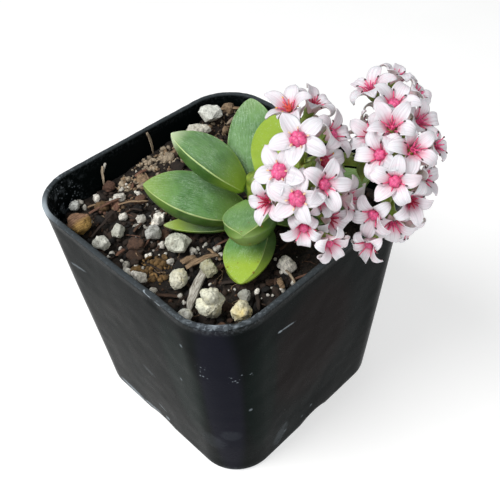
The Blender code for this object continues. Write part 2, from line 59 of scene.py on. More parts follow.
# Pot: its height and top come from the frame, the rest is the wall's own section
POT_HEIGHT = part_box("pot")[1].z / MM
POT_TOP_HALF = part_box("pot")[1].x / MM
POT_BOTTOM_HALF = 25.8
POT_TOP_RADIUS = 11.0
POT_BOTTOM_RADIUS = 9.7
POT_WALL = 0.9
POT_FLOOR = 2.6
RIM_HEIGHT = 1.6
RIM_PROUD = 0.15
LIP_HEIGHT = 0.28
LIP_STEPS = 8
FOOT_ROUNDING = 1.2
FOOT_STEPS = 6
SLOT_WIDTH = 12.0
SLOT_DEPTH = 5.0
SLOT_HEIGHT = 2.2
DRAIN_RADIUS = 2.5
DRAIN_OFFSET = 13.0
CORNER_STEPS = 30
SIDE_STEPS = 34
WALL_STEPS = 40
INNER_DEPTHS = (0.7, 1.4, 2.6, 4.2, 6.0, 8.0, 14.0, 30.0)

# corners of the pot and how far round them they reach: nicked, worn in front, worn on the left, and the one
# where a highlight is painted on the rim
NICKED_CORNER = (-26.5, -26.5, 7.0)
FRONT_CORNER = (-26.0, -27.0, 8.0)
LEFT_CORNER = (-28.0, 26.0, 9.0)
HIGHLIGHT_CORNER = (-29.4, 22.5, 3.6)

# the dent under the left rim: y and height, half sizes, depth
DENT_AT = (-12.6, 56.4)
DENT_SIZE = (1.7, 0.8)
DENT_DEPTH = 0.35
# how far the walls bow in or out
WALL_SWAY = 0.16

# Soil
SOIL_LEVEL = 49.6
SOIL_GAP = 0.3
SOIL_RINGS = 44

# Plant
STEM_AT = (2.5, -7.5)
STEM_RADIUS = 2.3
LEAF_JOINTS = (51.4, 54.1, 60.2)  # where pairs of leaves clasp the stem
LEAF_GAP = 0.3
LEAF_ROWS = 56
LEAF_TOP_STEPS = 22
LEAF_UNDER_STEPS = 18
LEAF_BASE_WIDTH = 0.40
LEAF_BASE_THICKNESS = 0.5
LEAF_WIDEST = 0.45

# name: base height, direction, pitch at the base, pitch at the tip, length, width, thickness, roll, taper
LEAVES = {
    "leaf_low_left": (51.2, 140, 3, 4, 17.3, 7.2, 1.3, 12, 0.80),
    "leaf_low_right": (51.4, 318, 2, 8, 17.0, 7.5, 1.6, 0, 0.80),
    "leaf_low_front": (53.6, 214, 2, -10, 17.2, 10.6, 3.2, 15, 0.70),
    "leaf_back": (56.0, 48, 41, 50, 20.0, 11.0, 4.0, 0, 0.68),
    "leaf_left": (53.8, 138, 36, 11.5, 22.0, 12.7, 5.7, -5, 0.84),
    "leaf_right": (54.2, 321, 24, 8, 21.5, 11.5, 4.0, 0, 0.80),
    "leaf_front": (59.3, 216.5, 22, 7, 16.6, 10.6, 5.5, 14, 0.66),
    "leaf_behind_flowers": (60.2, 15, 62, 72, 13.2, 8.2, 2.6, 0, 0.80),
    "leaf_upper_left": (59.7, 116.5, 57.5, 10.3, 18.6, 11.2, 4.8, 7.5, 0.85),
    "leaf_upper_right": (60.6, 297, 22, 2, 15.5, 9.5, 3.2, 0, 0.80),
}
# name: crown of the upper face, yellow at the tip and at the base, paleness, painted highlight at the tip,
# dots
LEAF_LOOKS = {
    "leaf_low_left": (0.00, 1.20, 0.8, 0.9, 0.3, 0.0),
    "leaf_low_right": (0.00, 0.50, 0.4, 0.3, 0.2, 0.0),
    "leaf_low_front": (0.02, 1.50, 0.15, 0.0, 0.0, 0.8),
    "leaf_back": (0.04, 0.10, 0.2, 0.25, 0.1, 0.0),
    "leaf_left": (0.04, 0.50, 0.45, 0.2, 0.1, 0.1),
    "leaf_right": (0.04, 0.50, 0.5, 0.4, 0.1, 0.0),
    "leaf_front": (-0.09, 0.45, 0.2, 0.45, 0.1, 0.8),
    "leaf_behind_flowers": (0.00, 2.80, 1.5, 0.0, 0.0, 0.0),
    "leaf_upper_left": (0.06, 0.15, 0.9, 0.2, 0.9, 0.0),
    "leaf_upper_right": (0.02, 0.40, 0.5, 0.4, 0.2, 0.0),
}
# leaves whose margin lies inside their outline: how pointed it is, and how far inside it lies on one side
LEAF_EDGES = {
    "leaf_low_front": (0.20, 0.34),
    "leaf_front": (0.75, 0.10),
}

# Flowers, in their own frame: +Z is the way a flower faces, and its petals part round the origin
PETALS = 5
CALYX_DEPTH = 2.4
PETAL_ROWS = 16
PETAL_ROUND = 12
PETAL_ROOT = (0.75, -1.5)
PETAL_ROOT_PITCH = 78
PETAL_WIDEST = 0.52
PETAL_HALF_THICKNESS = 0.20
PETAL_WAVE = 0.16
PETAL_TWIST = 9
PETALS_FROM = 3.4  # a CAD flower's corners farther than this from its foot belong to its petals
CUP_DEPTHS = (2.35, 2.0, 1.6, 1.2, 0.9)
CUP_RADII = (0.62, 0.85, 0.95, 0.98, 0.9)
CARPEL_SHARES = (0.80, 0.70, 0.90)
CARPEL_LEAN = -18
OPEN_EYE = 0.6  # with a smaller eye than this, each carpel shows its style
FILAMENT_RADIUS = 0.14
ANTHER_HALF_SIZES = (0.27, 0.15, 0.14)
STYLE_KNOTS = ((0.3, 0, 0.3), (0.55, 0, 0.9), (0.95, 0, 1.4))

# sepals and bracts: length, width, bend
SEPAL = (1.9, 0.95, -12)
STALK_BRACT = (4.6, 2.2, -35)
BRACT_SHARES = (0.40, 0.62, 0.84)
BLADE_STEPS = 8
BLADE_SIDES = 8

# kind: petal length, width, opening above the flower's plane, curl of the tips, eye size,
# reach of the anthers, anther colour, eye colour
KINDS = {
    "disk": (5.1, 3.15, 17, 45, 1.15, 0.28, "cream", "rose"),
    "star": (5.3, 2.80, 42, 115, 0.42, 0.60, "dark", "rose"),
    "boss": (5.3, 2.85, 38, 115, 0.82, 0.52, "dark", "rose"),
    "amber": (5.4, 2.75, 42, 80, 0.45, 0.50, "amber", "coral"),
    "ruby": (4.9, 2.90, 34, 75, 0.80, 0.36, "amber", "ruby"),
    "spider": (4.9, 2.70, 34, 90, 0.36, 0.60, "dark", "ruby"),
    "curled": (5.1, 2.35, 52, 235, 0.66, 0.75, "dark", "rose"),
    "throat": (5.4, 2.60, 52, 150, 0.42, 0.50, "dark", "ruby"),
    "small": (4.4, 2.50, 55, 120, 0.40, 0.45, "dark", "rose"),
    "narrow": (3.7, 2.30, 62, 110, 0.40, 0.55, "dark", "rose"),
}
# the flowers of each kind; every other flower is a star
KIND_LISTS = {
    "disk": ("left_02", "left_04", "left_07"),
    "boss": ("left_03", "left_08", "right_02", "right_07", "right_09", "right_10"),
    "amber": ("left_01",),
    "ruby": ("left_05",),
    "spider": ("left_06", "right_04"),
    "curled": ("left_10", "left_12", "right_12", "right_14"),
    "throat": ("left_11", "left_13", "right_13"),
    "small": ("right_15", "right_16"),
    "narrow": ("right_08",),
}
FLOWER_KINDS = {"flower_" + name: kind for kind, names in KIND_LISTS.items() for name in names}

# Flower heads: the dome that the flowers of each head stand on
HEAD_TURN = 47.0
HEAD_HALF_SIZES = (12.5, 7.0, 11.5)
HEAD_CENTRES = {
    "left": (0.5, -20.5, 72.0),
    "right": (13.0, -30.5, 72.0),
}
STALK_ROUTES = {
    "left": ((2.0, -8.2, 62.3), (2.2, -12.5, 66.4), (1.6, -17.0, 68.2), (1.2, -19.8, 69.3)),
    "right": ((3.8, -8.0, 62.3), (9.0, -15.0, 66.2), (12.4, -21.5, 67.8), (13.4, -28.6, 69.4)),
}
STALK_RADIUS = 0.95
STALK_KNOB = (1.7, 1.6, 1.4)
PEDICEL_RADIUS = 0.5
PEDICEL_BEND = 0.35

# flowers fill each dome from the top down to this many degrees, wherever it is bare for BARE millimetres
DOME_FOOT = -34
DOME_TRIES = 600
GOLDEN_ANGLE = 137.5
FILLING_DEPTH = (0.77, 0.87)
BARE = 5.3
LIFT = 0.4  # how far the flowers on a dome turn up
# each dome stays bare on one side, the left one against the leaves and the right one against the left one:
# the direction of that side, and how far towards it a flower may stand
BARE_SIDE = {"left": (Vector((-1, 1, 0)), 1.5), "right": (Vector((-0.78, 0.62, 0)), 3.0)}


# ----- finishes


class Finish:
    """One procedural material. Its methods add nodes and return their output. Lengths are in millimetres."""

    def __init__(self, name, roughness, **constants):
        self.material = bpy.data.materials.new(name)
        self.material.use_nodes = True
        self.tree = self.material.node_tree
        self.shader = self.tree.nodes["Principled BSDF"]
        self.shader.inputs["Roughness"].default_value = roughness
        for socket, value in constants.items():
            self.shader.inputs[socket.replace("_", " ")].default_value = value
        place = self.add("TexCoord").outputs["Object"]
        self.mm = self.add("VectorMath", {0: place, "Scale": 1 / MM}, operation="SCALE").outputs[0]

    def add(self, kind, inputs=None, **settings):
        node = self.tree.nodes.new("ShaderNode" + kind)
        for name, value in settings.items():
            setattr(node, name, value)
        for socket, value in (inputs or {}).items():
            self.feed(node.inputs[socket], value)
        return node

    def feed(self, socket, value):
        if isinstance(value, bpy.types.NodeSocket):
            self.tree.links.new(value, socket)
        elif socket.type == "RGBA":
            socket.default_value = (*value, 1.0)
        else:
            socket.default_value = value

    def set(self, socket, value):
        self.feed(self.shader.inputs[socket], value)

    def grain(self, scale, detail=3.0, roughness=0.55, distortion=0.0, vector=None, stretch=None):
        """Noise with about that many bumps a millimetre."""
        vector = vector or self.mm
        if stretch:
            vector = self.add("Mapping", {"Vector": vector, "Scale": stretch}).outputs[0]
        inputs = {"Vector": vector, "Scale": scale, "Detail": detail, "Roughness": roughness}
        inputs["Distortion"] = distortion
        return self.add("TexNoise", inputs).outputs["Fac"]

    def cells(self, scale, output="Distance"):
        return self.add("TexVoronoi", {"Vector": self.mm, "Scale": scale}).outputs[output]

    def vertex(self, name, output="Fac"):
        """A value that the mesh carries."""
        return self.add("Attribute", attribute_name=name).outputs[output]

    def lengthwise(self, third=0.0):
        """Coordinates along and across the piece, from its own layers."""
        inputs = {"X": self.vertex("along"), "Y": self.vertex("across"), "Z": third}
        return self.add("CombineXYZ", inputs).outputs[0]

    def calc(self, operation, a, b):
        return self.add("Math", {0: a, 1: b}, operation=operation).outputs[0]

    def times(self, a, b):
        return self.calc("MULTIPLY", a, b)

    def most(self, a, b):
        return self.calc("MAXIMUM", a, b)

    def band(self, value, low, high):
        """0 below low, 1 above high, smooth between. With high under low it falls instead."""
        inputs = {"Value": value, "From Min": low, "From Max": high}
        return self.add("MapRange", inputs, interpolation_type="SMOOTHSTEP").outputs[0]

    def cloud(self, low, high, *scale_and_detail, **settings):
        """Noise cut to a band: 0 where it is under low, 1 where it is over high."""
        return self.band(self.grain(*scale_and_detail, **settings), low, high)

    def dots(self, scale, wide, narrow, few, many):
        """Round dots that fade from narrow out to wide, in some of the cells."""
        chosen = self.band(self.cells(scale, "Color"), few, many)
        return self.times(self.band(self.cells(scale), wide, narrow), chosen)

    def scaled(self, value, low, high):
        """A value from 0 to 1, taken to the span from low to high."""
        return self.add("MapRange", {"Value": value, "To Min": low, "To Max": high}).outputs[0]

    def blend(self, factor, a, b, mode="MIX"):
        node = self.add("Mix", data_type="RGBA", blend_type=mode)
        for index, value in ((0, factor), (6, a), (7, b)):
            self.feed(node.inputs[index], value)
        return node.outputs[2]

    def shaded(self, share, dark, light):
        """The piece's own colours, darkened and lightened from place to place."""
        return self.blend(1.0, self.vertex("colour", "Color"), self.blend(share, dark, light), "MULTIPLY")

    def spot(self, place, size, turn=(0, 0, 0)):
        """1 in the middle of an ellipsoid of those half sizes, falling to 0 at its skin."""
        inputs = {
            "Vector": self.mm,
            "Location": place,
            "Rotation": [radians(angle) for angle in turn],
            "Scale": size,
        }
        local = self.add("Mapping", inputs, vector_type="TEXTURE").outputs[0]
        return self.add("TexGradient", {"Vector": local}, gradient_type="SPHERICAL").outputs["Fac"]

    def bump(self, height, depth, normal=None):
        inputs = {"Height": height, "Distance": depth * MM, "Strength": 1.0}
        if normal:
            inputs["Normal"] = normal
        return self.add("Bump", inputs).outputs[0]


# where the plastic is scuffed or scratched, and two marks on the left foot that paint a highlight strip:
# place, half sizes, turn, strength
POT_MARKS = (
    ((-12.3, -29.1, 47.2), (2.8, 1.0, 0.30), (0, 12, 0), 0.50),
    ((-14.3, -29.1, 47.6), (0.9, 1.0, 0.40), (0, 12, 0), 0.70),
    ((-29.0, 15.2, 45.3), (1.0, 3.9, 0.55), (-13, 0, 0), 0.30),
    ((-27.5, -1.5, 22.8), (1.0, 2.8, 1.00), (18, 0, 0), 0.10),
    ((-29.9, -11.4, 56.7), (0.8, 1.7, 0.30), (38, 0, 0), 0.90),
    ((-29.9, -13.8, 56.3), (0.8, 1.8, 0.28), (-22, 0, 0), 0.60),
    ((-29.2, -18.3, 47.7), (1.0, 0.5, 0.70), (0, 0, 0), 0.40),
    ((-28.1, -14.7, 33.1), (1.0, 0.5, 0.60), (0, 0, 0), 0.40),
    ((-21.1, -27.0, 27.2), (0.5, 1.0, 0.60), (0, 0, 0), 0.40),
    ((-10.4, -26.2, 6.2), (0.7, 1.0, 0.50), (0, 0, 0), 0.25),
    ((-4.4, -26.2, 5.2), (0.6, 1.0, 0.60), (0, 0, 0), 0.25),
    ((-1.3, -26.3, 6.5), (0.6, 1.0, 0.60), (0, 0, 0), 0.25),
    # the next two marks paint a highlight strip along the rounding of the left foot
    ((-25.9, 11.0, 2.2), (1.6, 6.5, 1.20), (5, 0, 0), 0.60),
    ((-25.9, 3.6, 2.6), (1.6, 4.5, 0.90), (-9, 0, 0), 0.55),
    ((-26.3, -1.7, 7.9), (1.0, 2.0, 0.45), (22, 0, 0), 0.30),
    ((-26.1, -2.6, 3.9), (1.0, 0.9, 0.90), (0, 0, 0), 0.60),
    ((-24.4, -23.8, 17.7), (3.0, 3.0, 2.60), (0, 0, 0), 0.035),
    ((-26.0, -19.6, 13.7), (2.5, 4.5, 4.00), (0, 0, 0), 0.04),
    ((-12.0, -26.3, 6.4), (2.4, 1.5, 5.00), (0, 25, 0), 0.10),
)
# where small white dots pepper it: place, half sizes
POT_DOTS = (
    ((-23.3, -26.9, 40.2), (3.8, 3.0, 1.9)),
    ((-28.0, -22.0, 42.4), (1.6, 1.8, 3.8)),
)
# where dust and a painted reflection of the floor pale it: place, half sizes
POT_DUST_AND_REFLECTION = ((-29, 6, 18), (14, 26, 34))
# painted reflections that cast the black purple, plum and green: place, half sizes, colour, strength
POT_PAINTED_REFLECTIONS = (
    ((-4.0, -28.0, 34.0), (15.0, 8.0, 24.0), (0.0060, 0.0036, 0.0034), 0.9),
    ((-25.8, -24.2, 28.0), (5.0, 5.0, 60.0), (0.0090, 0.0092, 0.0160), 0.8),
    ((-28.0, -15.5, 34.0), (4.0, 6.0, 26.0), (0.0070, 0.0120, 0.0105), 0.8),
    ((-18.5, -28.0, 30.0), (5.0, 4.0, 30.0), (0.0018, 0.0058, 0.0046), 0.8),
)


def pot_plastic():
    """Thin black moulded plastic: painted reflections tint it, dust and a painted reflection of the floor
    pale its flank, it is peppered and scratched, paler where it is worn, and painted highlights lie along its
    foot and rim.
    """
    f = Finish("pot_plastic", 0.3, Specular_IOR_Level=0.009)
    colour = f.blend(f.cloud(0.35, 0.65, 0.06), (0.0016, 0.0034, 0.0034), (0.0028, 0.0040, 0.0040))
    # painted reflections: purple, plum and green casts laid over the black
    for place, size, tint, strength in POT_PAINTED_REFLECTIONS:
        colour = f.blend(f.times(f.band(f.spot(place, size), 0.0, 0.4), strength), colour, tint)
    # a warm grey over the left flank: partly dust, partly a painted reflection of the floor
    flank = f.band(f.spot(*POT_DUST_AND_REFLECTION), 0.0, 0.6)
    dust_and_reflection = f.times(flank, f.cloud(0.25, 0.75, 0.10, 5, 0.6))
    colour = f.blend(f.times(dust_and_reflection, 0.13), colour, (0.080, 0.073, 0.066))
    fine = f.grain(1.6, 5, 0.7)
    # edge holds painted highlights along the foot and rim, with real chips at the front corner
    marks = f.most(f.vertex("edge"), f.times(f.vertex("wear"), f.band(fine, 0.47, 0.62)))
    broken = f.scaled(f.cloud(0.35, 0.60, 0.9, 4, 0.65), 0.35, 1.0)
    for place, size, turn, strength in POT_MARKS:
        mark = f.band(f.times(f.spot(place, size, turn), broken), 0.0, 0.4)
        marks = f.most(marks, f.times(mark, strength))
    pepper = f.vertex("splash")
    for place, size in POT_DOTS:
        pepper = f.most(pepper, f.spot(place, size))
    dots = f.times(f.dots(1.5, 0.36, 0.22, 0.42, 0.56), f.band(pepper, 0.1, 0.45))
    marks = f.most(marks, f.times(dots, 0.45))
    smudge = f.times(f.vertex("splash"), f.cloud(0.50, 0.70, 0.45, 5, 0.7))
    marks = f.most(marks, f.times(smudge, 0.45))
    f.set("Base Color", f.blend(marks, colour, (0.30, 0.345, 0.38)))
    f.set("Roughness", f.scaled(f.grain(0.3, 5, 0.6), 0.20, 0.36))
    waves = f.bump(f.grain(0.06, 2), 0.5)
    f.set("Normal", f.bump(fine, 0.012, waves))
    return f.material


def soil_ground():
    """The dark fines under the crumbs."""
    f = Finish("soil_ground", 0.95)
    colour = f.blend(f.cloud(0.35, 0.7, 0.9, 6, 0.7), (0.005, 0.0035, 0.0025), (0.030, 0.019, 0.012))
    f.set("Base Color", f.blend(f.cloud(0.60, 0.72, 2.4, 4, 0.6), colour, (0.10, 0.075, 0.05)))
    f.set("Normal", f.bump(f.grain(1.6, 6, 0.7), 0.6))
    return f.material


def crumb_finish():
    """Bark, fibre and grit: each crumb carries its own colour."""
    f = Finish("crumb", 0.85)
    f.set("Base Color", f.shaded(f.cloud(0.3, 0.7, 1.7, 5, 0.7), (0.45, 0.42, 0.40), (1.25, 1.2, 1.15)))
    f.set("Normal", f.bump(f.grain(3.0, 5, 0.7), 0.18))
    return f.material


def wood_finish():
    """Splinters and chips of bark, with grain along them."""
    f = Finish("splinter", 0.8)
    streaks = f.grain(1.0, 4, 0.65, vector=f.lengthwise(), stretch=(0.5, 5.0, 1.0))
    f.set("Base Color", f.shaded(f.band(streaks, 0.35, 0.65), (0.35, 0.30, 0.26), (1.3, 1.25, 1.2)))
    f.set("Normal", f.bump(streaks, 0.15))
    return f.material


def stone_finish(name, colour, stain, stained):
    """Porous pumice or perlite: cloudy, pitted, with dirt in the hollows and a stain over part of it."""
    f = Finish(name, 0.9)
    body = f.blend(f.cloud(0.35, 0.62, 0.9, 5, 0.65), [c * 0.74 for c in colour], colour)
    specks = f.cloud(0.50, 0.66, 3.4, 4, 0.7)
    body = f.blend(f.times(specks, 0.35), body, [c * 0.42 for c in stain])
    patch = f.cloud(0.62 - 0.3 * stained, 0.72, 0.34, 4, 0.6, distortion=0.6)
    body = f.blend(f.times(patch, stained), body, stain)
    pits = f.band(f.cells(2.1), 0.34, 0.14)
    dirty = f.times(pits, f.cloud(0.42, 0.60, 0.8))
    body = f.blend(f.times(dirty, 0.55), body, (0.16, 0.135, 0.09))
    f.set("Base Color", f.blend(f.times(f.vertex("hollow"), 0.45), body, (0.22, 0.19, 0.13)))
    rough = f.bump(f.grain(2.6, 6, 0.75), 0.28)
    f.set("Normal", f.bump(f.calc("SUBTRACT", 1.0, pits), 0.14, rough))
    return f.material


def leaf_finish():
    """Fleshy leaf skin: blue-green with a fine bloom, yellow at tip and base, a thin pale margin, a painted
    highlight at the tip, and an underside painted darker as shade.
    """
    f = Finish("leaf_skin", 0.42, Specular_IOR_Level=0.45, Subsurface_Weight=0.10)
    f.set("Subsurface Radius", (0.8, 1.4, 0.3))
    f.set("Subsurface Scale", MM)
    broad = f.cloud(0.38, 0.64, 0.16, 3, 0.55)
    upper = f.blend(broad, (0.068, 0.190, 0.050), (0.135, 0.300, 0.088))
    frost = f.cloud(0.36, 0.60, 0.22, 4, 0.6)
    streaks = f.cloud(0.44, 0.62, 1.5, 6, 0.75, vector=f.lengthwise(), stretch=(0.40, 2.2, 1.0))
    streaks = f.times(streaks, f.scaled(frost, 0.25, 0.95))
    streaks = f.times(streaks, f.band(f.vertex("along"), 1.0, 11.0))
    upper = f.blend(streaks, upper, (0.275, 0.440, 0.265))
    upper = f.blend(f.times(f.vertex("pale"), 0.42), upper, (0.38, 0.56, 0.26))
    # the underside is painted darker, as shade
    shaded_underside = f.blend(broad, (0.036, 0.098, 0.012), (0.082, 0.175, 0.032))
    skin = f.blend(f.vertex("under"), upper, shaded_underside)
    skin = f.blend(f.vertex("yellow"), skin, (0.34, 0.48, 0.045))
    # white at the tip is a painted highlight
    skin = f.blend(f.vertex("white"), skin, (0.62, 0.72, 0.46))
    skin = f.blend(f.times(f.vertex("margin"), 0.65), skin, (0.58, 0.67, 0.28))
    above = f.calc("SUBTRACT", 1.0, f.vertex("under"))
    bloom = f.times(f.cloud(0.56, 0.68, 3.2, 3, 0.6), f.scaled(frost, 0.06, 0.46))
    skin = f.blend(f.times(bloom, above), skin, (0.56, 0.68, 0.50))
    dots = f.times(f.dots(0.9, 0.30, 0.18, 0.62, 0.70), f.vertex("dots"))
    f.set("Base Color", f.blend(dots, skin, (0.22, 0.12, 0.02)))
    f.set("Roughness", f.scaled(f.grain(0.8, 4), 0.28, 0.48))
    f.set("Normal", f.bump(f.grain(2.6, 4, 0.6), 0.045, f.bump(f.grain(0.35), 0.22)))
    return f.material


def green_finish():
    """Stalks, sepals and bracts: olive green with a red flush."""
    f = Finish("stalk_skin", 0.45, Subsurface_Weight=0.1)
    f.set("Subsurface Scale", MM)
    skin = f.blend(f.cloud(0.35, 0.65, 0.5, 4), (0.125, 0.185, 0.020), (0.265, 0.345, 0.050))
    flush = f.times(f.cloud(0.60, 0.75, 0.35, distortion=0.4), 0.45)
    f.set("Base Color", f.blend(flush, skin, (0.38, 0.12, 0.08)))
    f.set("Normal", f.bump(f.grain(3.0), 0.03))
    return f.material


def petal_finish():
    """White petals with a pink blush at the throat, in the veins and here and there at the tips."""
    f = Finish("petal_skin", 0.5, Subsurface_Weight=0.28, Specular_IOR_Level=0.3)
    f.set("Subsurface Radius", (1.0, 0.7, 0.75))
    f.set("Subsurface Scale", 0.8 * MM)
    local = f.lengthwise(f.vertex("blush"))
    veins = f.grain(1.0, 3, 0.6, vector=local, stretch=(1.2, 6.0, 30.0))
    white = f.blend(f.band(veins, 0.35, 0.65), (0.60, 0.575, 0.61), (0.73, 0.71, 0.745))
    blush = f.times(f.cloud(0.42, 0.70, 0.28, distortion=0.5), f.vertex("blush"))
    skin = f.blend(f.times(blush, 0.42), white, (0.80, 0.49, 0.57))
    reach = f.calc("SUBTRACT", f.times(veins, 0.24), f.times(f.vertex("flush"), 0.20))
    throat = f.band(f.calc("ADD", f.vertex("along"), reach), 0.50, 0.20)
    skin = f.blend(f.times(throat, 0.66), skin, (0.74, 0.27, 0.38))
    f.set("Base Color", f.blend(f.times(f.vertex("under"), 0.30), skin, (0.74, 0.60, 0.56)))
    f.set("Normal", f.bump(veins, 0.06))
    return f.material


def flower_heart_finish():
    """Carpels, filaments and anthers: each carries its own colour."""
    f = Finish("flower_heart", 0.38, Subsurface_Weight=0.1)
    f.set("Subsurface Scale", 0.5 * MM)
    f.set("Base Color", f.shaded(f.cloud(0.35, 0.7, 2.5, 4), (0.72, 0.68, 0.70), (1.15, 1.15, 1.15)))
    f.set("Normal", f.bump(f.grain(5.0), 0.03))
    return f.material


def floor_finish():
    """A matt, pale floor that glows a little, so that it stays white round the pot."""
    f = Finish("floor", 0.7)
    f.set("Base Color", f.blend(f.grain(0.02, 2), (0.53, 0.53, 0.52), (0.57, 0.57, 0.565)))
    f.set("Emission Color", (1.0, 1.0, 1.0))
    f.set("Emission Strength", 0.54)
    return f.material


POT = pot_plastic()
GROUND = soil_ground()
CRUMB = crumb_finish()
WOOD = wood_finish()
LEAF = leaf_finish()
GREEN = green_finish()
PETAL = petal_finish()
HEART = flower_heart_finish()


# ----- shapes


def circle(count):
    """The cosine and sine of that many angles, evenly spaced."""
    angles = [2 * pi * k / count for k in range(count)]
    return [(cos(angle), sin(angle)) for angle in angles]


def towards(heading, rise=0.0):
    """One unit along a level heading in radians, and up by the rise."""
    return Vector((cos(heading), sin(heading), rise))


def noise_at(*place):
    return noise.noise(Vector(place))


def mesh_of(bm, name):
    """The mesh of a shape that was built in millimetres. It uses the shape up."""
    bmesh.ops.scale(bm, vec=(MM, MM, MM), verts=bm.verts[:])
    mesh = bpy.data.meshes.new(name)
    bm.to_mesh(mesh)
    bm.free()
    return mesh


def add_object(name, data):
    added = bpy.data.objects.new(name, data)
    bpy.context.scene.collection.objects.link(added)
    return added


class Shape:
    """A mesh under construction, in millimetres, with the number layers that its finishes read."""

    def __init__(self, *layers):
        self.bm = bmesh.new()
        self.layers = {name: self.bm.verts.layers.float.new(name) for name in layers}
        self.colour = self.bm.verts.layers.float_color.new("colour")

    def point(self, place, colour=None, **values):
        vert = self.bm.verts.new(place)
        for name, value in values.items():
            vert[self.layers[name]] = value
        if colour:
            vert[self.colour] = (*colour, 1.0)
        return vert

    def face(self, verts, material=0):
        face = self.bm.faces.new(verts)
        face.material_index = material
        face.smooth = True
        return face

    def skin(self, rows, material=0, start=None, end=None):
        """Quads between closed rows of points, with a fan or a flat cap at each end."""
        count = len(rows[0])
        for low, high in zip(rows, rows[1:]):
            for i in range(count):
                j = (i + 1) % count
                self.face((low[i], low[j], high[j], high[i]), material)
        for row, tip, flip in ((rows[0], start, True), (rows[-1], end, False)):
            row = row[::-1] if flip else row
            if tip is None:
                self.face(row, material)
            else:
                for i in range(count):
                    self.face((row[i], row[(i + 1) % count], tip), material)

    def tube(self, route, radii, sides, material=0, colour=None):
        """A round stick along a route, rounded at both ends."""
        rows = []
        side = Vector((0.31, 0.52, 0.79))
        for i, (place, radius) in enumerate(zip(route, radii)):
            along = (route[min(i + 1, len(route) - 1)] - route[max(i - 1, 0)]).normalized()
            side = (side - side.dot(along) * along).normalized()
            across = along.cross(side)
            row = [place + radius * (side * x + across * y) for x, y in circle(sides)]
            rows.append([self.point(corner, colour) for corner in row])
        start = self.point(route[0] + (route[0] - route[1]).normalized() * radii[0] * 0.5, colour)
        end = self.point(route[-1] + (route[-1] - route[-2]).normalized() * radii[-1] * 0.5, colour)
        self.skin(rows, material, start, end)

    def lump(self, place, half_sizes, turn, seed, rough, cuts=0, detail=1, material=0, colour=None):
        """An uneven pebble with that many flat broken sides. turn is a rotation matrix."""
        made = bmesh.ops.create_icosphere(self.bm, subdivisions=detail, radius=1.0)["verts"]
        shift = Vector((seed * 1.37, seed * 0.71, seed * 2.13))
        planes = broken_sides(seed, cuts)
        for vert in made:
            direction = vert.co.normalized()
            swell = noise.noise(direction * 1.1 + shift) + 0.5 * noise.noise(direction * 2.7 + shift)
            size = shortened(1 + rough * swell, direction, planes)
            local = Vector([direction[k] * half_sizes[k] * size for k in range(3)])
            vert.co = place + turn @ local
            if colour:
                vert[self.colour] = (*colour, 1.0)
        faces = {face for vert in made for face in vert.link_faces}
        for face in faces:
            face.material_index = material
            face.smooth = True

    def done(self, name, materials, slot, replaced=()):
        """The finished piece: it rides on the root body and takes the place of those CAD nodes."""
        bmesh.ops.recalc_face_normals(self.bm, faces=self.bm.faces[:])
        piece = add_object(name, mesh_of(self.bm, name))
        for material in materials:
            piece.data.materials.append(material)
        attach(piece, "root")
        if replaced:
            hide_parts(*replaced)
        return piece


def smooth_route(points, steps):
    """Points along a Catmull-Rom curve through the given ones."""
    knots = [Vector(p) for p in points]
    knots = [2 * knots[0] - knots[1], *knots, 2 * knots[-1] - knots[-2]]
    route = []
    for a, b, c, d in zip(knots, knots[1:], knots[2:], knots[3:]):
        for step in range(steps):
            t = step / steps
            bend = (2 * a - 5 * b + 4 * c - d) * t**2 + (3 * b - a - 3 * c + d) * t**3
            route.append((2 * b + (c - a) * t + bend) / 2)
    route.append(knots[-2])
    return route


def smoothstep(low, high, value):
    share = max(0.0, min(1.0, (value - low) / (high - low)))
    return share * share * (3 - 2 * share)


def middle_of(points):
    return sum(points, Vector((0, 0, 0))) / len(points)


def mixed(a, b, share):
    return [x + (y - x) * share for x, y in zip(a, b)]


def varied(colour, rng, spread=0.25):
    """The same colour, a little lighter or darker."""
    factor = 1 + rng.uniform(-spread, spread)
    return [channel * factor for channel in colour]


def random_direction(rng):
    return Vector((rng.gauss(0, 1), rng.gauss(0, 1), rng.gauss(0, 1))).normalized()


def random_turn(rng):
    return Matrix.Rotation(rng.uniform(0, 2 * pi), 3, random_direction(rng))


def broken_sides(seed, count):
    """Planes that leave flat sides on a lump: a direction, and how far out it lies as a share of the lump."""
    rng = random.Random(seed)
    return [(random_direction(rng), rng.uniform(0.70, 0.93)) for _ in range(count)]


def shortened(size, direction, planes):
    """How far a lump reaches in a direction before it meets a plane."""
    for normal, depth in planes:
        lean = direction.dot(normal)
        if lean * size > depth:
            size = depth / lean
    return size


# ----- pot


def pot_half(z):
    return POT_BOTTOM_HALF + (POT_TOP_HALF - RIM_PROUD - POT_BOTTOM_HALF) * z / POT_HEIGHT


def pot_radius(z):
    return POT_BOTTOM_RADIUS + (POT_TOP_RADIUS - POT_BOTTOM_RADIUS) * z / POT_HEIGHT


def outline(z, inset):
    """Points and outward directions round the wall at height z, anticlockwise."""
    half = pot_half(z) - inset
    radius = max(0.5, pot_radius(z) - inset)
    straight = half - radius
    ring = []
    for corner in range(4):
        turn = Matrix.Rotation(radians(90 * corner), 2)
        for step in range(SIDE_STEPS):
            along = -straight + 2 * straight * step / SIDE_STEPS
            ring.append((turn @ Vector((half, along)), turn @ Vector((1, 0))))
        for step in range(CORNER_STEPS):
            angle = radians(90) * step / CORNER_STEPS
            outward = Vector((cos(angle), sin(angle)))
            ring.append((turn @ (Vector((straight, straight)) + radius * outward), turn @ outward))
    return ring


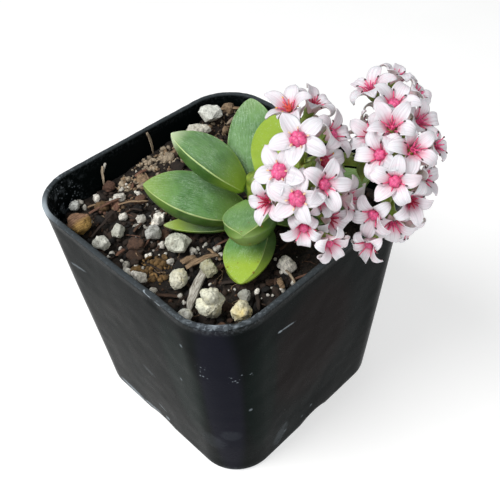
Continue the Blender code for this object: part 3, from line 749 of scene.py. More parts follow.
def wall_sway(place, z):
    """How far the thin wall stands out from its outline. Under the left rim a dent is pressed in."""
    dent = 0.0
    if place.x < -28:
        along = (place.y - DENT_AT[0]) / DENT_SIZE[0]
        rise = (z - DENT_AT[1]) / DENT_SIZE[1]
        dent = DENT_DEPTH * exp(-(along**2) - rise**2)
    sway = WALL_SWAY * noise_at(place.x / 17, place.y / 17, z / 23) * smoothstep(0, 12, z)
    return sway - dent


def near_corner(place, corner):
    """1 at a corner of the pot, falling away round it."""
    x, y, size = corner
    return exp(-(((place - Vector((x, y))).length / size) ** 2))


def rim_nick(place):
    """How deep the rim is worn down: ragged at the front corner, a little everywhere else."""
    jag = noise_at(place.x * 1.1, place.y * 1.1, 3.0)
    return 0.10 * (1 + jag) + 0.45 * near_corner(place, NICKED_CORNER) * max(0.0, 0.25 + jag)


def pot_profile():
    """(z, inset, edge, wear, splash) of each ring: up the outside, over the rim and down the inside."""
    rows = []
    # edge on the foot's rounding is a painted highlight strip, strongest halfway round it
    for step in range(FOOT_STEPS + 1):
        angle = pi / 2 * step / FOOT_STEPS
        z = FOOT_ROUNDING * (1 - cos(angle))
        inset = FOOT_ROUNDING * (1 - sin(angle))
        rows.append((z, inset, sin(pi * step / FOOT_STEPS), 0.3, 0.0))
    rim_bottom = POT_HEIGHT - RIM_HEIGHT
    for step in range(1, WALL_STEPS + 1):
        z = FOOT_ROUNDING + (rim_bottom - FOOT_ROUNDING) * step / WALL_STEPS
        rows.append((z, 0.0, 0.0, 0.35 * smoothstep(54.5, 57, z), 0.0))
    rows.append((rim_bottom + 0.3, -RIM_PROUD, 0.0, 0.25, 0.0))
    # edge on the rim is a pale band, partly wear and partly a painted highlight
    rows.append((POT_HEIGHT - 0.8, -RIM_PROUD, 0.02, 0.35, 0.0))
    half_lip = (POT_WALL + RIM_PROUD) / 2
    for step in range(LIP_STEPS + 1):
        angle = pi * step / LIP_STEPS
        z = POT_HEIGHT - LIP_HEIGHT * (1 - sin(angle))
        rows.append((z, -RIM_PROUD + half_lip * (1 - cos(angle)), 0.16, 1.0, 0.0))
    for depth in INNER_DEPTHS:
        wear = 0.3 * smoothstep(3, 0, depth)
        rows.append((POT_HEIGHT - depth, POT_WALL, 0.0, wear, smoothstep(0.3, 2.0, depth)))
    rows.append((POT_FLOOR, POT_WALL, 0.0, 0.0, 0.0))
    return rows


def worn_edge_and_highlight(place, z):
    """How pale an edge is painted: a painted highlight along the foot towards the left, a pale band along the
    rim that is partly wear and partly a painted highlight, brightest at one corner, and real chips at the
    front corner.
    """
    if z < 5:
        return 0.45 * smoothstep(5, -5, place.x)
    chipped = 1.6 * max(0.0, noise_at(place.x * 1.1, place.y * 1.1, 5.0) - 0.15)
    return 0.8 + 6 * (near_corner(place, HIGHLIGHT_CORNER) + near_corner(place, FRONT_CORNER) * chipped)


def cut_away(piece, shape, name):
    """Takes a closed shape out of a piece."""
    cutter = add_object(name, mesh_of(shape, name))
    modifier = piece.modifiers.new(name, "BOOLEAN")
    modifier.operation = "DIFFERENCE"
    modifier.object = cutter
    graph = bpy.context.evaluated_depsgraph_get()
    cut_mesh = bpy.data.meshes.new_from_object(piece.evaluated_get(graph))
    piece.modifiers.remove(modifier)
    spent = (piece.data, cutter.data)
    piece.data = cut_mesh
    bpy.data.objects.remove(cutter)
    for mesh in spent:
        bpy.data.meshes.remove(mesh)


def add_cylinder(bm, radius, depth, segments, matrix):
    bmesh.ops.create_cone(
        bm, cap_ends=True, segments=segments, radius1=radius, radius2=radius, depth=depth, matrix=matrix
    )


def foot_openings():
    """The four arched air slots under the walls and the four drain holes in the floor."""
    bm = bmesh.new()
    radius = (SLOT_WIDTH**2 / 4 + SLOT_HEIGHT**2) / (2 * SLOT_HEIGHT)
    lying = Matrix.Rotation(radians(90), 4, "Y")
    for side in range(4):
        turn = Matrix.Rotation(radians(90 * side), 4, "Z")
        slot = turn @ Matrix.Translation((POT_BOTTOM_HALF, 0, SLOT_HEIGHT - radius)) @ lying
        add_cylinder(bm, radius, 2 * SLOT_DEPTH, 96, slot)
        drain = turn @ Matrix.Translation((DRAIN_OFFSET, DRAIN_OFFSET, 0))
        add_cylinder(bm, DRAIN_RADIUS, 4 * POT_FLOOR, 28, drain)
    return bm


def make_pot():
    shape = Shape("edge", "wear", "splash")
    rows = []
    for z, inset, edge, wear, splash in pot_profile():
        row = []
        for place, outward in outline(z, inset):
            moved = place + outward * wall_sway(place, z)
            height = z - rim_nick(place) * smoothstep(POT_HEIGHT - 1.2, POT_HEIGHT, z)
            left = near_corner(place, LEFT_CORNER)
            values = {
                "edge": edge * worn_edge_and_highlight(place, z),
                "wear": wear * min(1.0, 0.20 + 0.35 * near_corner(place, FRONT_CORNER) + 0.5 * left),
                "splash": splash * left,
            }
            row.append(shape.point((*moved, height), **values))
        rows.append(row)
    shape.skin(rows)
    pot = shape.done("pot_shell", [POT], "pot_plastic", ["pot"])
    cut_away(pot, foot_openings(), "foot_openings")


# ----- soil


def tree_of(node):
    """A search tree over a CAD node, in millimetres."""
    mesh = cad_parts[node].data
    corners = [vert.co / MM for vert in mesh.vertices]
    return BVHTree.FromPolygons(corners, [tuple(face.vertices) for face in mesh.polygons])


SOIL_TREE = tree_of("soil")


def ground(x, y):
    """The CAD soil's height at a place, or a little way in from it where it is at the soil's very edge."""
    for share in (1.0, 0.99, 0.97):
        hit = SOIL_TREE.ray_cast(Vector((share * x, share * y, 2 * POT_HEIGHT)), -UP)[0]
        if hit and hit.z > SOIL_LEVEL - 3:
            return hit.z
    return SOIL_LEVEL


def relief(x, y):
    """The visible soil's unevenness over the CAD soil: hollows between the crumbs."""
    broad = noise_at(x / 5, y / 5, 0.0)
    fine = noise_at(x / 1.8, y / 1.8, 7.0)
    grit = noise_at(x / 0.6, y / 0.6, 13.0)
    return 0.50 * broad + 0.55 * fine + 0.16 * grit - 0.40


def inside_pot(x, y, margin):
    """Whether a place on the soil is at least margin away from the wall."""
    half = pot_half(SOIL_LEVEL) - POT_WALL - margin
    radius = pot_radius(SOIL_LEVEL) - POT_WALL - margin
    dx = max(0.0, abs(x) - (half - radius))
    dy = max(0.0, abs(y) - (half - radius))
    return hypot(dx, dy) <= radius


def make_soil():
    shape = Shape()
    inset = POT_WALL + SOIL_GAP
    rows = []
    for z in (POT_FLOOR + SOIL_GAP, SOIL_LEVEL - 3.0):
        rows.append([shape.point((*place, z)) for place, _ in outline(z, inset)])
    for ring in range(SOIL_RINGS):
        share = 1 - ring / SOIL_RINGS
        row = []
        for place, _ in outline(SOIL_LEVEL, inset):
            x, y = place * share
            row.append(shape.point((x, y, ground(x, y) + relief(x, y))))
        rows.append(row)
    shape.skin(rows, end=shape.point((0, 0, ground(0, 0) + relief(0, 0))))
    shape.done("soil_body", [GROUND], "soil", ["soil"])


# ----- crumbs

BLACK = (0.005, 0.0035, 0.0025)
UMBER = (0.026, 0.015, 0.009)
RUSSET = (0.062, 0.032, 0.018)
TAN = (0.27, 0.19, 0.115)
SAND = (0.38, 0.32, 0.235)
GREY = (0.46, 0.46, 0.42)
WHITE = (0.88, 0.88, 0.82)
MOSS = (0.155, 0.092, 0.030)
AMBER = (0.27, 0.165, 0.06)
REDDISH = (0.15, 0.075, 0.048)

# centre, half sizes, colours and density of the patches where the crumbs differ from the rest
PATCHES = (
    ((1.0, 24.3), (11.0, 4.4), (SAND, TAN, SAND), 0.95),
    ((-8.0, 21.0), (6.5, 4.0), (TAN, SAND, REDDISH), 0.7),
    ((-20.5, -1.0), (3.4, 5.4), (MOSS, MOSS, MOSS, AMBER), 0.95),
    ((-17.5, 21.0), (6.0, 4.5), (REDDISH, UMBER, TAN), 0.5),
    ((-12.5, 9.5), (4.0, 4.5), (TAN, GREY, UMBER), 0.35),
    ((-5.0, -22.5), (6.0, 3.5), (UMBER, TAN, RUSSET), 0.35),
    ((12.0, 20.0), (9.0, 6.0), (UMBER, RUSSET, TAN), 0.5),
    ((22.5, 22.5), (7.0, 7.0), (UMBER, TAN, SAND, RUSSET), 0.7),
)
COMMON_CRUMBS = (BLACK, BLACK, UMBER, UMBER, RUSSET)

# how many lie all over the soil
FINES = 1500
CHIPS = 230
SMALL_GRAINS = 130
SMALL_SPLINTERS = 60
ROOTLETS = 110


def crumb_colour(x, y, rng):
    for (px, py), (rx, ry), colours, density in PATCHES:
        if ((x - px) / rx) ** 2 + ((y - py) / ry) ** 2 < 1 and rng.random() < density:
            return varied(rng.choice(colours), rng)
    return varied(rng.choice(COMMON_CRUMBS), rng, 0.5)


def scatter(count, margin, rng):
    """Random places on the soil, clear of the wall and the stem."""
    half = pot_half(SOIL_LEVEL)
    places = []
    while len(places) < count:
        x = rng.uniform(-half, half)
        y = rng.uniform(-half, half)
        if inside_pot(x, y, margin) and hypot(x - STEM_AT[0], y - STEM_AT[1]) > STEM_RADIUS + margin:
            places.append((x, y))
    return places


def over_ground(x, y, rise):
    """A place that far above the CAD soil."""
    return Vector((x, y, ground(x, y) + rise))


def on_soil(x, y, rise):
    """A place above the visible, uneven soil."""
    return over_ground(x, y, relief(x, y) + rise)


def uneven(size, rng, *spans):
    """A size times a random share from each span."""
    return [size * rng.uniform(low, high) for low, high in spans]


def make_fines():
    """Small angular crumbs of bark and peat, over the whole soil and heaped in the patches."""
    rng = random.Random(11)
    shape = Shape()
    places = scatter(FINES, 0.9, rng)
    for (px, py), (rx, ry), _, density in PATCHES:
        for _ in range(int(3.2 * rx * ry * density)):
            x = rng.gauss(px, 0.45 * rx)
            y = rng.gauss(py, 0.45 * ry)
            if inside_pot(x, y, 0.8):
                places.append((x, y))
    for number, (x, y) in enumerate(places):
        size = 0.28 + (0.80 if number < FINES else 0.50) * rng.random() ** 2.4
        half_sizes = uneven(size, rng, (0.8, 1.5), (0.6, 1.0), (0.4, 0.8))
        place = on_soil(x, y, 0.35 * size)
        shape.lump(place, half_sizes, random_turn(rng), number, 0.4, 3, colour=crumb_colour(x, y, rng))
    shape.done("soil_fines", [CRUMB], "soil")


# the larger lumps of bark: x, y, half size, colour
BARK_LUMPS = (
    (-19.2, 6.6, 2.0, (0.085, 0.045, 0.028)),
    (-11.5, 26.0, 1.7, (0.10, 0.050, 0.032)),
    (-16.5, 22.0, 1.7, (0.12, 0.070, 0.030)),
    (-9.5, 17.5, 1.6, (0.13, 0.072, 0.045)),
    (10.5, 21.5, 1.8, (0.08, 0.045, 0.030)),
    (24.4, 24.4, 1.9, (0.26, 0.19, 0.12)),
    (26.5, 19.0, 1.5, (0.17, 0.12, 0.08)),
)


def make_chips():
    """Angular pieces of bark lying at all angles."""
    rng = random.Random(23)
    shape = Shape()
    for x, y, size, colour in BARK_LUMPS:
        half_sizes = (size, 0.85 * size, 0.75 * size)
        shape.lump(on_soil(x, y, 0.5 * size), half_sizes, random_turn(rng), size, 0.3, 8, 4, colour=colour)
    for number, (x, y) in enumerate(scatter(CHIPS, 2.0, rng)):
        size = 0.8 + 1.4 * rng.random() ** 1.6
        half_sizes = (size, *uneven(size, rng, (0.45, 0.85), (0.18, 0.45)))
        lean = Matrix.Rotation(rng.gauss(0, 0.4), 3, "X") @ Matrix.Rotation(rng.gauss(0, 0.35), 3, "Y")
        turn = Matrix.Rotation(rng.uniform(0, 2 * pi), 3, "Z") @ lean
        colour = crumb_colour(x, y, rng)
        place = on_soil(x, y, 0.2 + 0.2 * size)
        shape.lump(place, half_sizes, turn, number + 0.5, 0.3, 6, 3, colour=colour)
    shape.done("bark_flakes", [CRUMB], "bark")


# the larger grains: x, y, half size
GRAINS = (
    (-18.7, 27.3, 0.9), (-19.0, 25.4, 0.65), (-15.5, 25.3, 1.1), (-12.0, 21.5, 1.3), (-13.7, 22.5, 0.7),
    (-15.7, 15.5, 1.1), (-13.3, 12.4, 1.1), (-11.0, 9.3, 1.8), (-24.5, 8.4, 0.8), (-23.7, 4.2, 0.8),
    (-25.0, 2.2, 0.9), (-24.6, -1.3, 1.6), (-25.0, -5.5, 0.9), (-15.7, 2.7, 0.9), (-17.5, -1.9, 0.7),
    (-12.3, -3.0, 0.8), (-8.3, -6.0, 1.0), (-9.5, -8.0, 0.8), (-19.0, 3.0, 0.7), (-3.2, -20.5, 1.8),
    (-9.5, 11.5, 0.7), (-17.5, 9.0, 0.6),
)
# where small grains have gathered: centre, spread, how many
DRIFTS = (
    ((-23.5, 6.0), (1.4, 3.0), 10),
    ((-13.5, 11.0), (2.2, 3.0), 10),
    ((-10.5, -3.5), (1.8, 1.0), 7),
    ((-19.0, 2.0), (2.0, 1.4), 8),
    ((-8.5, -21.5), (2.4, 1.8), 8),
    ((-22.0, -11.5), (2.0, 2.5), 7),
    ((-10.0, 22.5), (2.6, 1.6), 9),
    ((17.5, 24.5), (2.0, 1.2), 6),
)


def make_perlite():
    """Pale rounded grains: in drifts, and small ones all over, more of them on the left."""
    rng = random.Random(37)
    shape = Shape()
    grains = list(GRAINS)
    for (px, py), (sx, sy), count in DRIFTS:
        for _ in range(count):
            x = rng.gauss(px, sx)
            y = rng.gauss(py, sy)
            if inside_pot(x, y, 1.0):
                grains.append((x, y, rng.uniform(0.25, 0.65)))
    for x, y in scatter(SMALL_GRAINS, 1.2, rng):
        if rng.random() < 0.25 + 0.75 * smoothstep(14, -14, x):
            grains.append((x, y, 0.16 + 0.40 * rng.random() ** 2))
    for number, (x, y, size) in enumerate(grains):
        half_sizes = uneven(size, rng, (0.9, 1.25), (0.75, 1.0), (0.7, 0.95))
        tint = mixed(WHITE, GREY, rng.random() ** 1.4)
        place = on_soil(x, y, 0.65 * size)
        detail = 2 + (size > 0.5) + (size > 1.2)
        turn = random_turn(rng)
        shape.lump(place, half_sizes, turn, number + 0.25, 0.4, 3, detail, colour=varied(tint, rng, 0.1))
    shape.done("perlite_grains", [CRUMB], "pumice")


SPLINTER_STEPS = 14
SPLINTER_SIDES = 8
# start, end, rise at each end, half width, colour
SPLINTERS = (
    ((-14.5, -9.2), (-23.6, -14.6), 1.2, 0.4, 1.05, GREY),
    ((-4.5, -21.5), (-6.5, -26.0), 1.2, 1.6, 0.30, SAND),
    ((2.2, 27.9), (2.5, 27.2), 6.0, 0.3, 0.50, SAND),
    ((-11.0, 27.9), (-12.0, 27.3), 5.0, 0.4, 0.32, SAND),
    ((-10.0, 28.0), (-11.2, 27.8), 5.2, 3.4, 0.36, GREY),
    ((27.3, 21.5), (22.0, 26.0), 1.2, 1.0, 0.60, TAN),
    ((-24.0, 15.5), (-16.0, 18.0), 0.6, 0.8, 0.35, UMBER),
    ((-20.0, 22.0), (-12.5, 20.5), 0.7, 1.1, 0.45, REDDISH),
    ((-19.0, 24.0), (-14.0, 21.0), 0.9, 0.9, 0.30, TAN),
    ((-14.0, 19.5), (-9.0, 15.0), 0.8, 1.2, 0.35, TAN),
    ((-15.0, -14.0), (-11.0, -17.5), 0.5, 0.4, 0.45, UMBER),
    ((-22.5, -10.5), (-26.0, -6.5), 0.5, 0.5, 0.45, RUSSET),
    ((-16.8, -6.0), (-10.2, -8.6), 0.9, 1.2, 0.75, TAN),
)


def splinter(shape, start, end, half_width, colour, rng):
    """A flat, frayed sliver of wood between two points."""
    length = (end - start).length
    along = (end - start).normalized()
    side = along.cross(UP).normalized()
    lift = side.cross(along)
    rows = []
    phase = rng.uniform(0, 50)
    for i in range(SPLINTER_STEPS + 1):
        t = i / SPLINTER_STEPS
        taper = (0.35 + 0.65 * sin(pi * min(1.0, 0.12 + 0.88 * t)) ** 0.5) * half_width
        bow = lift * 0.06 * length * sin(pi * t)
        wander = side * 0.036 * noise_at(phase, 3 * t, 0) * length
        row = []
        for k, (x, y) in enumerate(circle(SPLINTER_SIDES)):
            fray = 1 + 0.35 * noise_at(phase + k, 6 * t, 1)
            offset = (side * x + lift * y * 0.35) * taper * fray
            place = start + along * t * length + bow + wander + offset
            row.append(shape.point(place, colour, along=t * length, across=x * half_width))
        rows.append(row)
    shape.skin(rows)


def make_splinters():
    rng = random.Random(53)
    shape = Shape("along", "across")
    for start, end, start_rise, end_rise, half_width, colour in SPLINTERS:
        splinter(shape, over_ground(*start, start_rise), over_ground(*end, end_rise), half_width, colour, rng)
    for x, y in scatter(SMALL_SPLINTERS, 3.0, rng):
        length = rng.uniform(1.6, 5.0)
        heading = rng.uniform(0, 2 * pi)
        start = over_ground(x, y, rng.uniform(0.2, 0.6))
        end = start + towards(heading, rng.gauss(0.05, 0.12)) * length
        if inside_pot(end.x, end.y, 0.6):
            colour = varied(rng.choice((TAN, UMBER, RUSSET, REDDISH, UMBER)), rng)
            splinter(shape, start, end, rng.uniform(0.14, 0.50), colour, rng)
    shape.done("splinters", [WOOD], "bark")


def make_fibres():
    """Thin bent rootlets and coir fibres."""
    rng = random.Random(71)
    shape = Shape()
    for x, y in scatter(ROOTLETS, 2.5, rng):
        heading = rng.uniform(0, 2 * pi)
        place = over_ground(x, y, rng.uniform(0.1, 0.5))
        route = [place.copy()]
        for _ in range(rng.randint(4, 9)):
            heading += rng.gauss(0, 0.5)
            place = place + towards(heading, rng.gauss(0.02, 0.25)) * 0.6
            if inside_pot(place.x, place.y, 0.5):
                place.z = max(place.z, ground(place.x, place.y) + 0.1)
                route.append(place.copy())
        if len(route) > 3:
            radius = rng.uniform(0.045, 0.10)
            colour = varied(rng.choice((TAN, UMBER, UMBER, RUSSET)), rng)
            path = smooth_route(route, 2)
            shape.tube(path, [radius] * len(path), 5, colour=colour)
    shape.done("fibres", [CRUMB], "bark")


# name: colour, stain, how much of it is stained, flat sides, roughness in millimetres, waist
STONE_LOOKS = {
    "stone_front_twin": ((0.92, 0.91, 0.74), (0.82, 0.74, 0.42), 0.5, 8, 0.80, 0.30),
    "stone_front_block": ((0.90, 0.85, 0.62), (0.84, 0.66, 0.22), 0.8, 9, 0.50, 0.0),
    "stone_front_grey": ((0.54, 0.54, 0.48), (0.33, 0.32, 0.26), 0.5, 6, 0.35, 0.0),
    "stone_cream_angular": ((0.86, 0.84, 0.68), (0.72, 0.58, 0.24), 0.5, 10, 0.25, 0.0),
    "stone_cream_round": ((0.50, 0.49, 0.35), (0.38, 0.34, 0.15), 0.6, 4, 0.45, 0.0),
    "stone_by_rim": ((0.86, 0.86, 0.78), (0.60, 0.52, 0.30), 0.6, 7, 0.30, 0.0),
    "stone_smooth_white": ((0.74, 0.75, 0.63), (0.56, 0.56, 0.44), 0.4, 2, 0.18, 0.0),
    "stone_left_grey": ((0.64, 0.64, 0.60), (0.28, 0.28, 0.25), 0.7, 5, 0.60, 0.0),
    "stone_left_pale": ((0.64, 0.64, 0.56), (0.42, 0.41, 0.30), 0.5, 5, 0.40, 0.0),
    "stone_left_rim": ((0.82, 0.82, 0.73), (0.60, 0.58, 0.42), 0.4, 4, 0.25, 0.0),
    "stone_left_corner": ((0.78, 0.79, 0.74), (0.54, 0.54, 0.46), 0.3, 3, 0.20, 0.0),
    "stone_back_white": ((0.91, 0.92, 0.84), (0.74, 0.72, 0.58), 0.3, 3, 0.22, 0.0),
    "stone_sandy": ((0.80, 0.77, 0.66), (0.60, 0.54, 0.42), 0.6, 5, 0.60, 0.0),
}
GOLDEN = (0.42, 0.27, 0.08)
# name: colour of its top and of its near side, flat sides, roughness in millimetres
BARK_LOOKS = {
    "bark_chip_left": ((0.24, 0.14, 0.085), GOLDEN, 9, 0.45),
    "bark_chip_front": (TAN, TAN, 6, 0.35),
    "bark_chip_right": (TAN, TAN, 6, 0.35),
}
# how high up a lump its waist is, and how tall, as shares of its size
WAIST_RISE = 0.56
WAIST_SPAN = 0.20


def worn_lump(node, seed, cuts, rough, waist=0.0):
    """A CAD lump with flat broken sides, a rough, pitted skin and a layer that says where its hollows are.

    A waist narrows it above the middle, so that a smaller knob stands on a larger one.
    """
    shape = Shape("along", "across", "hollow")
    tree = tree_of(node)
    middle = middle_of(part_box(node)) / MM
    corners = [vert.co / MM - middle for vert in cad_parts[node].data.vertices]
    planes = [(side, share * max(c.dot(side) for c in corners)) for side, share in broken_sides(seed, cuts)]
    shift = Vector((seed * 3.1, -seed * 1.7, seed * 0.9))
    for vert in bmesh.ops.create_icosphere(shape.bm, subdivisions=5, radius=1.0)["verts"]:
        direction = vert.co.normalized()
        reach = (tree.ray_cast(middle, direction)[0] - middle).length
        narrowed = 1 - waist * exp(-(((direction.z - WAIST_RISE) / WAIST_SPAN) ** 2))
        place = middle + direction * shortened(reach, direction, planes) * narrowed
        bumps = noise.turbulence(place * 0.7 + shift, 5, False) - 0.1
        cell = noise.voronoi(place * 1.3 + shift)[0][0]
        hollow = smoothstep(0.28, 0.0, cell)
        crust = noise.noise(place * 4.5 + shift)
        vert.co = place + direction * (rough * (0.55 * bumps - 0.30 * hollow) + 0.09 * crust)
        vert[shape.layers["hollow"]] = min(1.0, 0.7 * hollow + smoothstep(-0.3, -0.9, bumps))
        offset = vert.co - middle
        vert[shape.layers["along"]] = offset.x + 0.4 * offset.y
        vert[shape.layers["across"]] = offset.y + offset.z
    for face in shape.bm.faces:
        face.smooth = True
    return shape


def make_stones():
    for seed, (name, (colour, stain, stained, cuts, rough, waist)) in enumerate(STONE_LOOKS.items()):
        shape = worn_lump(name, seed + 1, cuts, rough, waist)
        look = stone_finish(name + "_finish", colour, stain, stained)
        shape.done(name + "_rock", [look], "pumice", [name])


def make_bark_chips():
    for seed, (name, (top, side, cuts, rough)) in enumerate(BARK_LOOKS.items()):
        shape = worn_lump(name, seed + 31, cuts, rough)
        middle = middle_of(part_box(name)) / MM
        for vert in shape.bm.verts:
            lean = (middle - vert.co).dot(Vector((0, 1, 0.4)))
            vert[shape.colour] = (*mixed(top, side, smoothstep(-0.4, 1.2, lean)), 1.0)
        shape.done(name + "_flake", [WOOD], "bark", [name])


# ----- leaves


def leaf_rise(share, base):
    """From its base share up to 1 where the leaf is widest."""
    return base + (1 - base) * sin(pi / 2 * share / LEAF_WIDEST)


def leaf_width(share, taper):
    if share < LEAF_WIDEST:
        return leaf_rise(share, LEAF_BASE_WIDTH)
    return max(0.0, 1 - ((share - LEAF_WIDEST) / (1 - LEAF_WIDEST)) ** 2.2) ** taper


def leaf_thickness(share):
    if share < LEAF_WIDEST:
        return leaf_rise(share, LEAF_BASE_THICKNESS)
    return sqrt(max(0.0, 1 - ((share - LEAF_WIDEST) / (1 - LEAF_WIDEST)) ** 2))


def leaf_section(crown):
    """(across, up, under, margin) round the leaf: the upper face, its fine margin, the round underside."""
    points = []
    for k in range(LEAF_TOP_STEPS + 1):
        a = cos(pi * k / LEAF_TOP_STEPS)
        ridge = 0.03 * smoothstep(0.90, 0.99, abs(a))
        margin = 1.0 if abs(a) > 0.995 else 0.0
        points.append((a * 0.995, crown * (1 - a * a) + ridge, 0.0, margin))
    points.append((-1.0, -0.012, 0.2, 1.0))
    points.append((-0.995, -0.05, 0.9, 0.0))
    for k in range(1, LEAF_UNDER_STEPS):
        angle = pi * k / LEAF_UNDER_STEPS
        points.append((-cos(angle), -sin(angle) ** 0.9, 1.0, 0.0))
    points.append((0.995, -0.05, 0.9, 0.0))
    points.append((1.0, -0.012, 0.2, 1.0))
    return points


def leaf_values(share, a, under, margin, looks):
    """What the leaf's finish reads at a point: share is along the leaf and a across it."""
    _, tip_yellow, base_yellow, pale, white, dots = looks
    tip = smoothstep(1.0 - 0.25 * (1 + tip_yellow), 1.0, share) * tip_yellow
    root = smoothstep(0.45, 0.0, share) * base_yellow
    edge = smoothstep(0.80, 1.0, abs(a)) * 0.08 * (1 - under)
    return {
        "under": under,
        "yellow": min(0.95, tip * (1 - 0.5 * under) + root + edge * (tip_yellow + base_yellow)),
        "margin": margin * smoothstep(0.03, 0.12, share),
        "pale": pale * (1 - under),
        # a painted highlight at the tip
        "white": white * smoothstep(0.80, 1.0, share),
        "dots": dots * smoothstep(0.55, 0.80, share),
    }


def leaf_spine(pitch_base, pitch_tip, length):
    """(share, place, up) along the middle of a leaf that grows out along X."""
    spine = []
    place = Vector((0, 0, 0))
    last_share = 0.0
    for i in range(LEAF_ROWS + 1):
        share = 0.9995 * sin(pi / 2 * i / LEAF_ROWS)
        pitch = radians(pitch_base + (pitch_tip - pitch_base) * (share + last_share) / 2)
        place = place + (share - last_share) * length * Vector((cos(pitch), 0, sin(pitch)))
        pitch = radians(pitch_base + (pitch_tip - pitch_base) * share)
        spine.append((share, place, Vector((-sin(pitch), 0, cos(pitch)))))
        last_share = share
    return spine


def make_leaf(name):
    base_z, direction, pitch_base, pitch_tip, length, width, thickness, roll, taper = LEAVES[name]
    looks = LEAF_LOOKS[name]
    point, inside = LEAF_EDGES.get(name, (0.0, 0.0))
    heading = radians(direction)
    base = Vector((*STEM_AT, base_z)) + towards(heading) * (STEM_RADIUS + LEAF_GAP)
    turn = Matrix.Rotation(heading, 3, "Z")
    shape = Shape("along", "across", "under", "yellow", "margin", "pale", "white", "dots")
    section = leaf_section(looks[0])
    spin = radians(roll)
    left = Vector((0, 1, 0))
    rows = []
    for share, place, up in leaf_spine(pitch_base, pitch_tip, length):
        across = cos(spin) * left + sin(spin) * up
        above = -sin(spin) * left + cos(spin) * up
        half = width / 2 * leaf_width(share, taper)
        upper = width / 2 * leaf_width(share, taper + point)
        deep = thickness * leaf_thickness(share)
        row = []
        for a, b, under, margin in section:
            sway = 1 + 0.02 * noise_at(share * 3 + base_z, a + direction, 0)
            inset = 1 - inside * max(0.0, a) * sin(pi * share) ** 0.7
            wide = half if under == 1.0 else upper * inset
            local = place + across * wide * a * sway + above * deep * b
            values = leaf_values(share, a, under, margin, looks)
            row.append(shape.point(base + turn @ local, along=share * length, across=half * a, **values))
        rows.append(row)
    shape.skin(rows)
    shape.done(name + "_blade", [LEAF], "leaf_green", [name])


def make_stem():
    """The main stem, with a ring where each pair of leaves clasps it."""
    low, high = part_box("stem")
    steps = 40
    route = [Vector((*STEM_AT, (low.z + (high.z - low.z) * k / steps) / MM)) for k in range(steps + 1)]
    radii = []
    for place in route:
        ring = max(exp(-(((place.z - height) / 0.7) ** 2)) for height in LEAF_JOINTS)
        radii.append(STEM_RADIUS * (0.94 + 0.05 * ring))
    shape = Shape()
    shape.tube(route, radii, 28)
    shape.done("stem_skin", [GREEN], "stem_green", ["stem"])


# ----- flowers

HEART_COLOURS = {
    "rose": (0.70, 0.095, 0.24),
    "ruby": (0.42, 0.018, 0.06),
    "coral": (0.82, 0.14, 0.10),
    "dark": (0.075, 0.028, 0.030),
    "cream": (0.80, 0.55, 0.33),
    "amber": (0.80, 0.38, 0.06),
    "filament": (0.76, 0.10, 0.22),
}
PETAL_SLOT, GREEN_SLOT, HEART_SLOT = range(3)


def mesh_points(node):
    """A CAD node's distinct corners, in millimetres."""
    seen = {}
    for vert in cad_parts[node].data.vertices:
        place = vert.co / MM
        seen[tuple(round(x, 3) for x in place)] = place
    return list(seen.values())


def plane_normal(points, centre):
    """The normal of a flat ring of points."""
    total = Vector((0, 0, 0))
    first = points[0] - centre
    for point in points[1:]:
        cross = first.cross(point - centre)
        total += cross if cross.dot(total) >= 0 else -cross
    return total.normalized()


def flower_placement(node):
    """Where a CAD flower is, and its turn, read from its mesh: its calyx stands on a small flat ring."""
    points = mesh_points(node)
    hub = Vector(STALK_ROUTES["left" if "left" in node else "right"][-1])
    middle = middle_of(points)
    foot = sorted(points, key=lambda point: (point - hub).length)[: 4 * PETALS]
    for _ in range(3):
        centre = middle_of(foot)
        axis = (middle - centre).normalized()
        foot = sorted(points, key=lambda point: point.dot(axis))[: 4 * PETALS]
    centre = middle_of(foot)
    facing = plane_normal(foot, centre)
    if facing.dot(middle - centre) < 0:
        facing = -facing
    turn = facing.to_track_quat("Z", "Y").to_matrix()
    wave = 0j
    for point in points:
        if (point - centre).length > PETALS_FROM:
            wave += complex(*(turn.transposed() @ (point - centre)).xy) ** PETALS
    spin = atan2(wave.imag, wave.real) / PETALS
    return centre + facing * CALYX_DEPTH, turn @ Matrix.Rotation(spin, 3, "Z")


def dome_placement(head, direction, height, depth):
    """A flower's place and turn on a head's dome."""
    along = towards(radians(HEAD_TURN))
    a = radians(direction)
    h = radians(height)
    shares = (cos(h) * cos(a), cos(h) * sin(a), sin(h))
    place = Vector(HEAD_CENTRES[head])
    facing = Vector((0, 0, 0))
    for axis, half, share in zip((along, UP.cross(along), UP), HEAD_HALF_SIZES, shares):
        place += axis * half * share * depth
        facing += axis * share / half
    facing = (facing.normalized() + LIFT * UP).normalized()
    spin = Matrix.Rotation(radians(direction * 3), 3, "Z")
    return place, facing.to_track_quat("Z", "Y").to_matrix() @ spin


def bare_places(head, taken, rng):
    """Flower placements for the parts of a dome that the given ones leave bare, from its top down."""
    added = []
    side, limit = BARE_SIDE[head]
    lowest = sin(radians(DOME_FOOT))
    for number in range(DOME_TRIES):
        height = degrees(asin(1 - (1 - lowest) * (number + 0.5) / DOME_TRIES))
        place, turn = dome_placement(head, GOLDEN_ANGLE * number, height, rng.uniform(*FILLING_DEPTH))
        free = all((place - other).length > BARE for other, _ in taken + added)
        if free and (place - Vector(HEAD_CENTRES[head])).dot(side) < limit:
            added.append((place, turn))
    return added


def petal_swell(t):
    """How wide a petal is along its length, as a share of its widest."""
    if t > PETAL_WIDEST:
        return max(0.0, 1 - ((t - PETAL_WIDEST) / 0.485) ** 1.9) ** 0.80
    return 0.62 + 0.38 * sin(pi / 2 * t / PETAL_WIDEST)


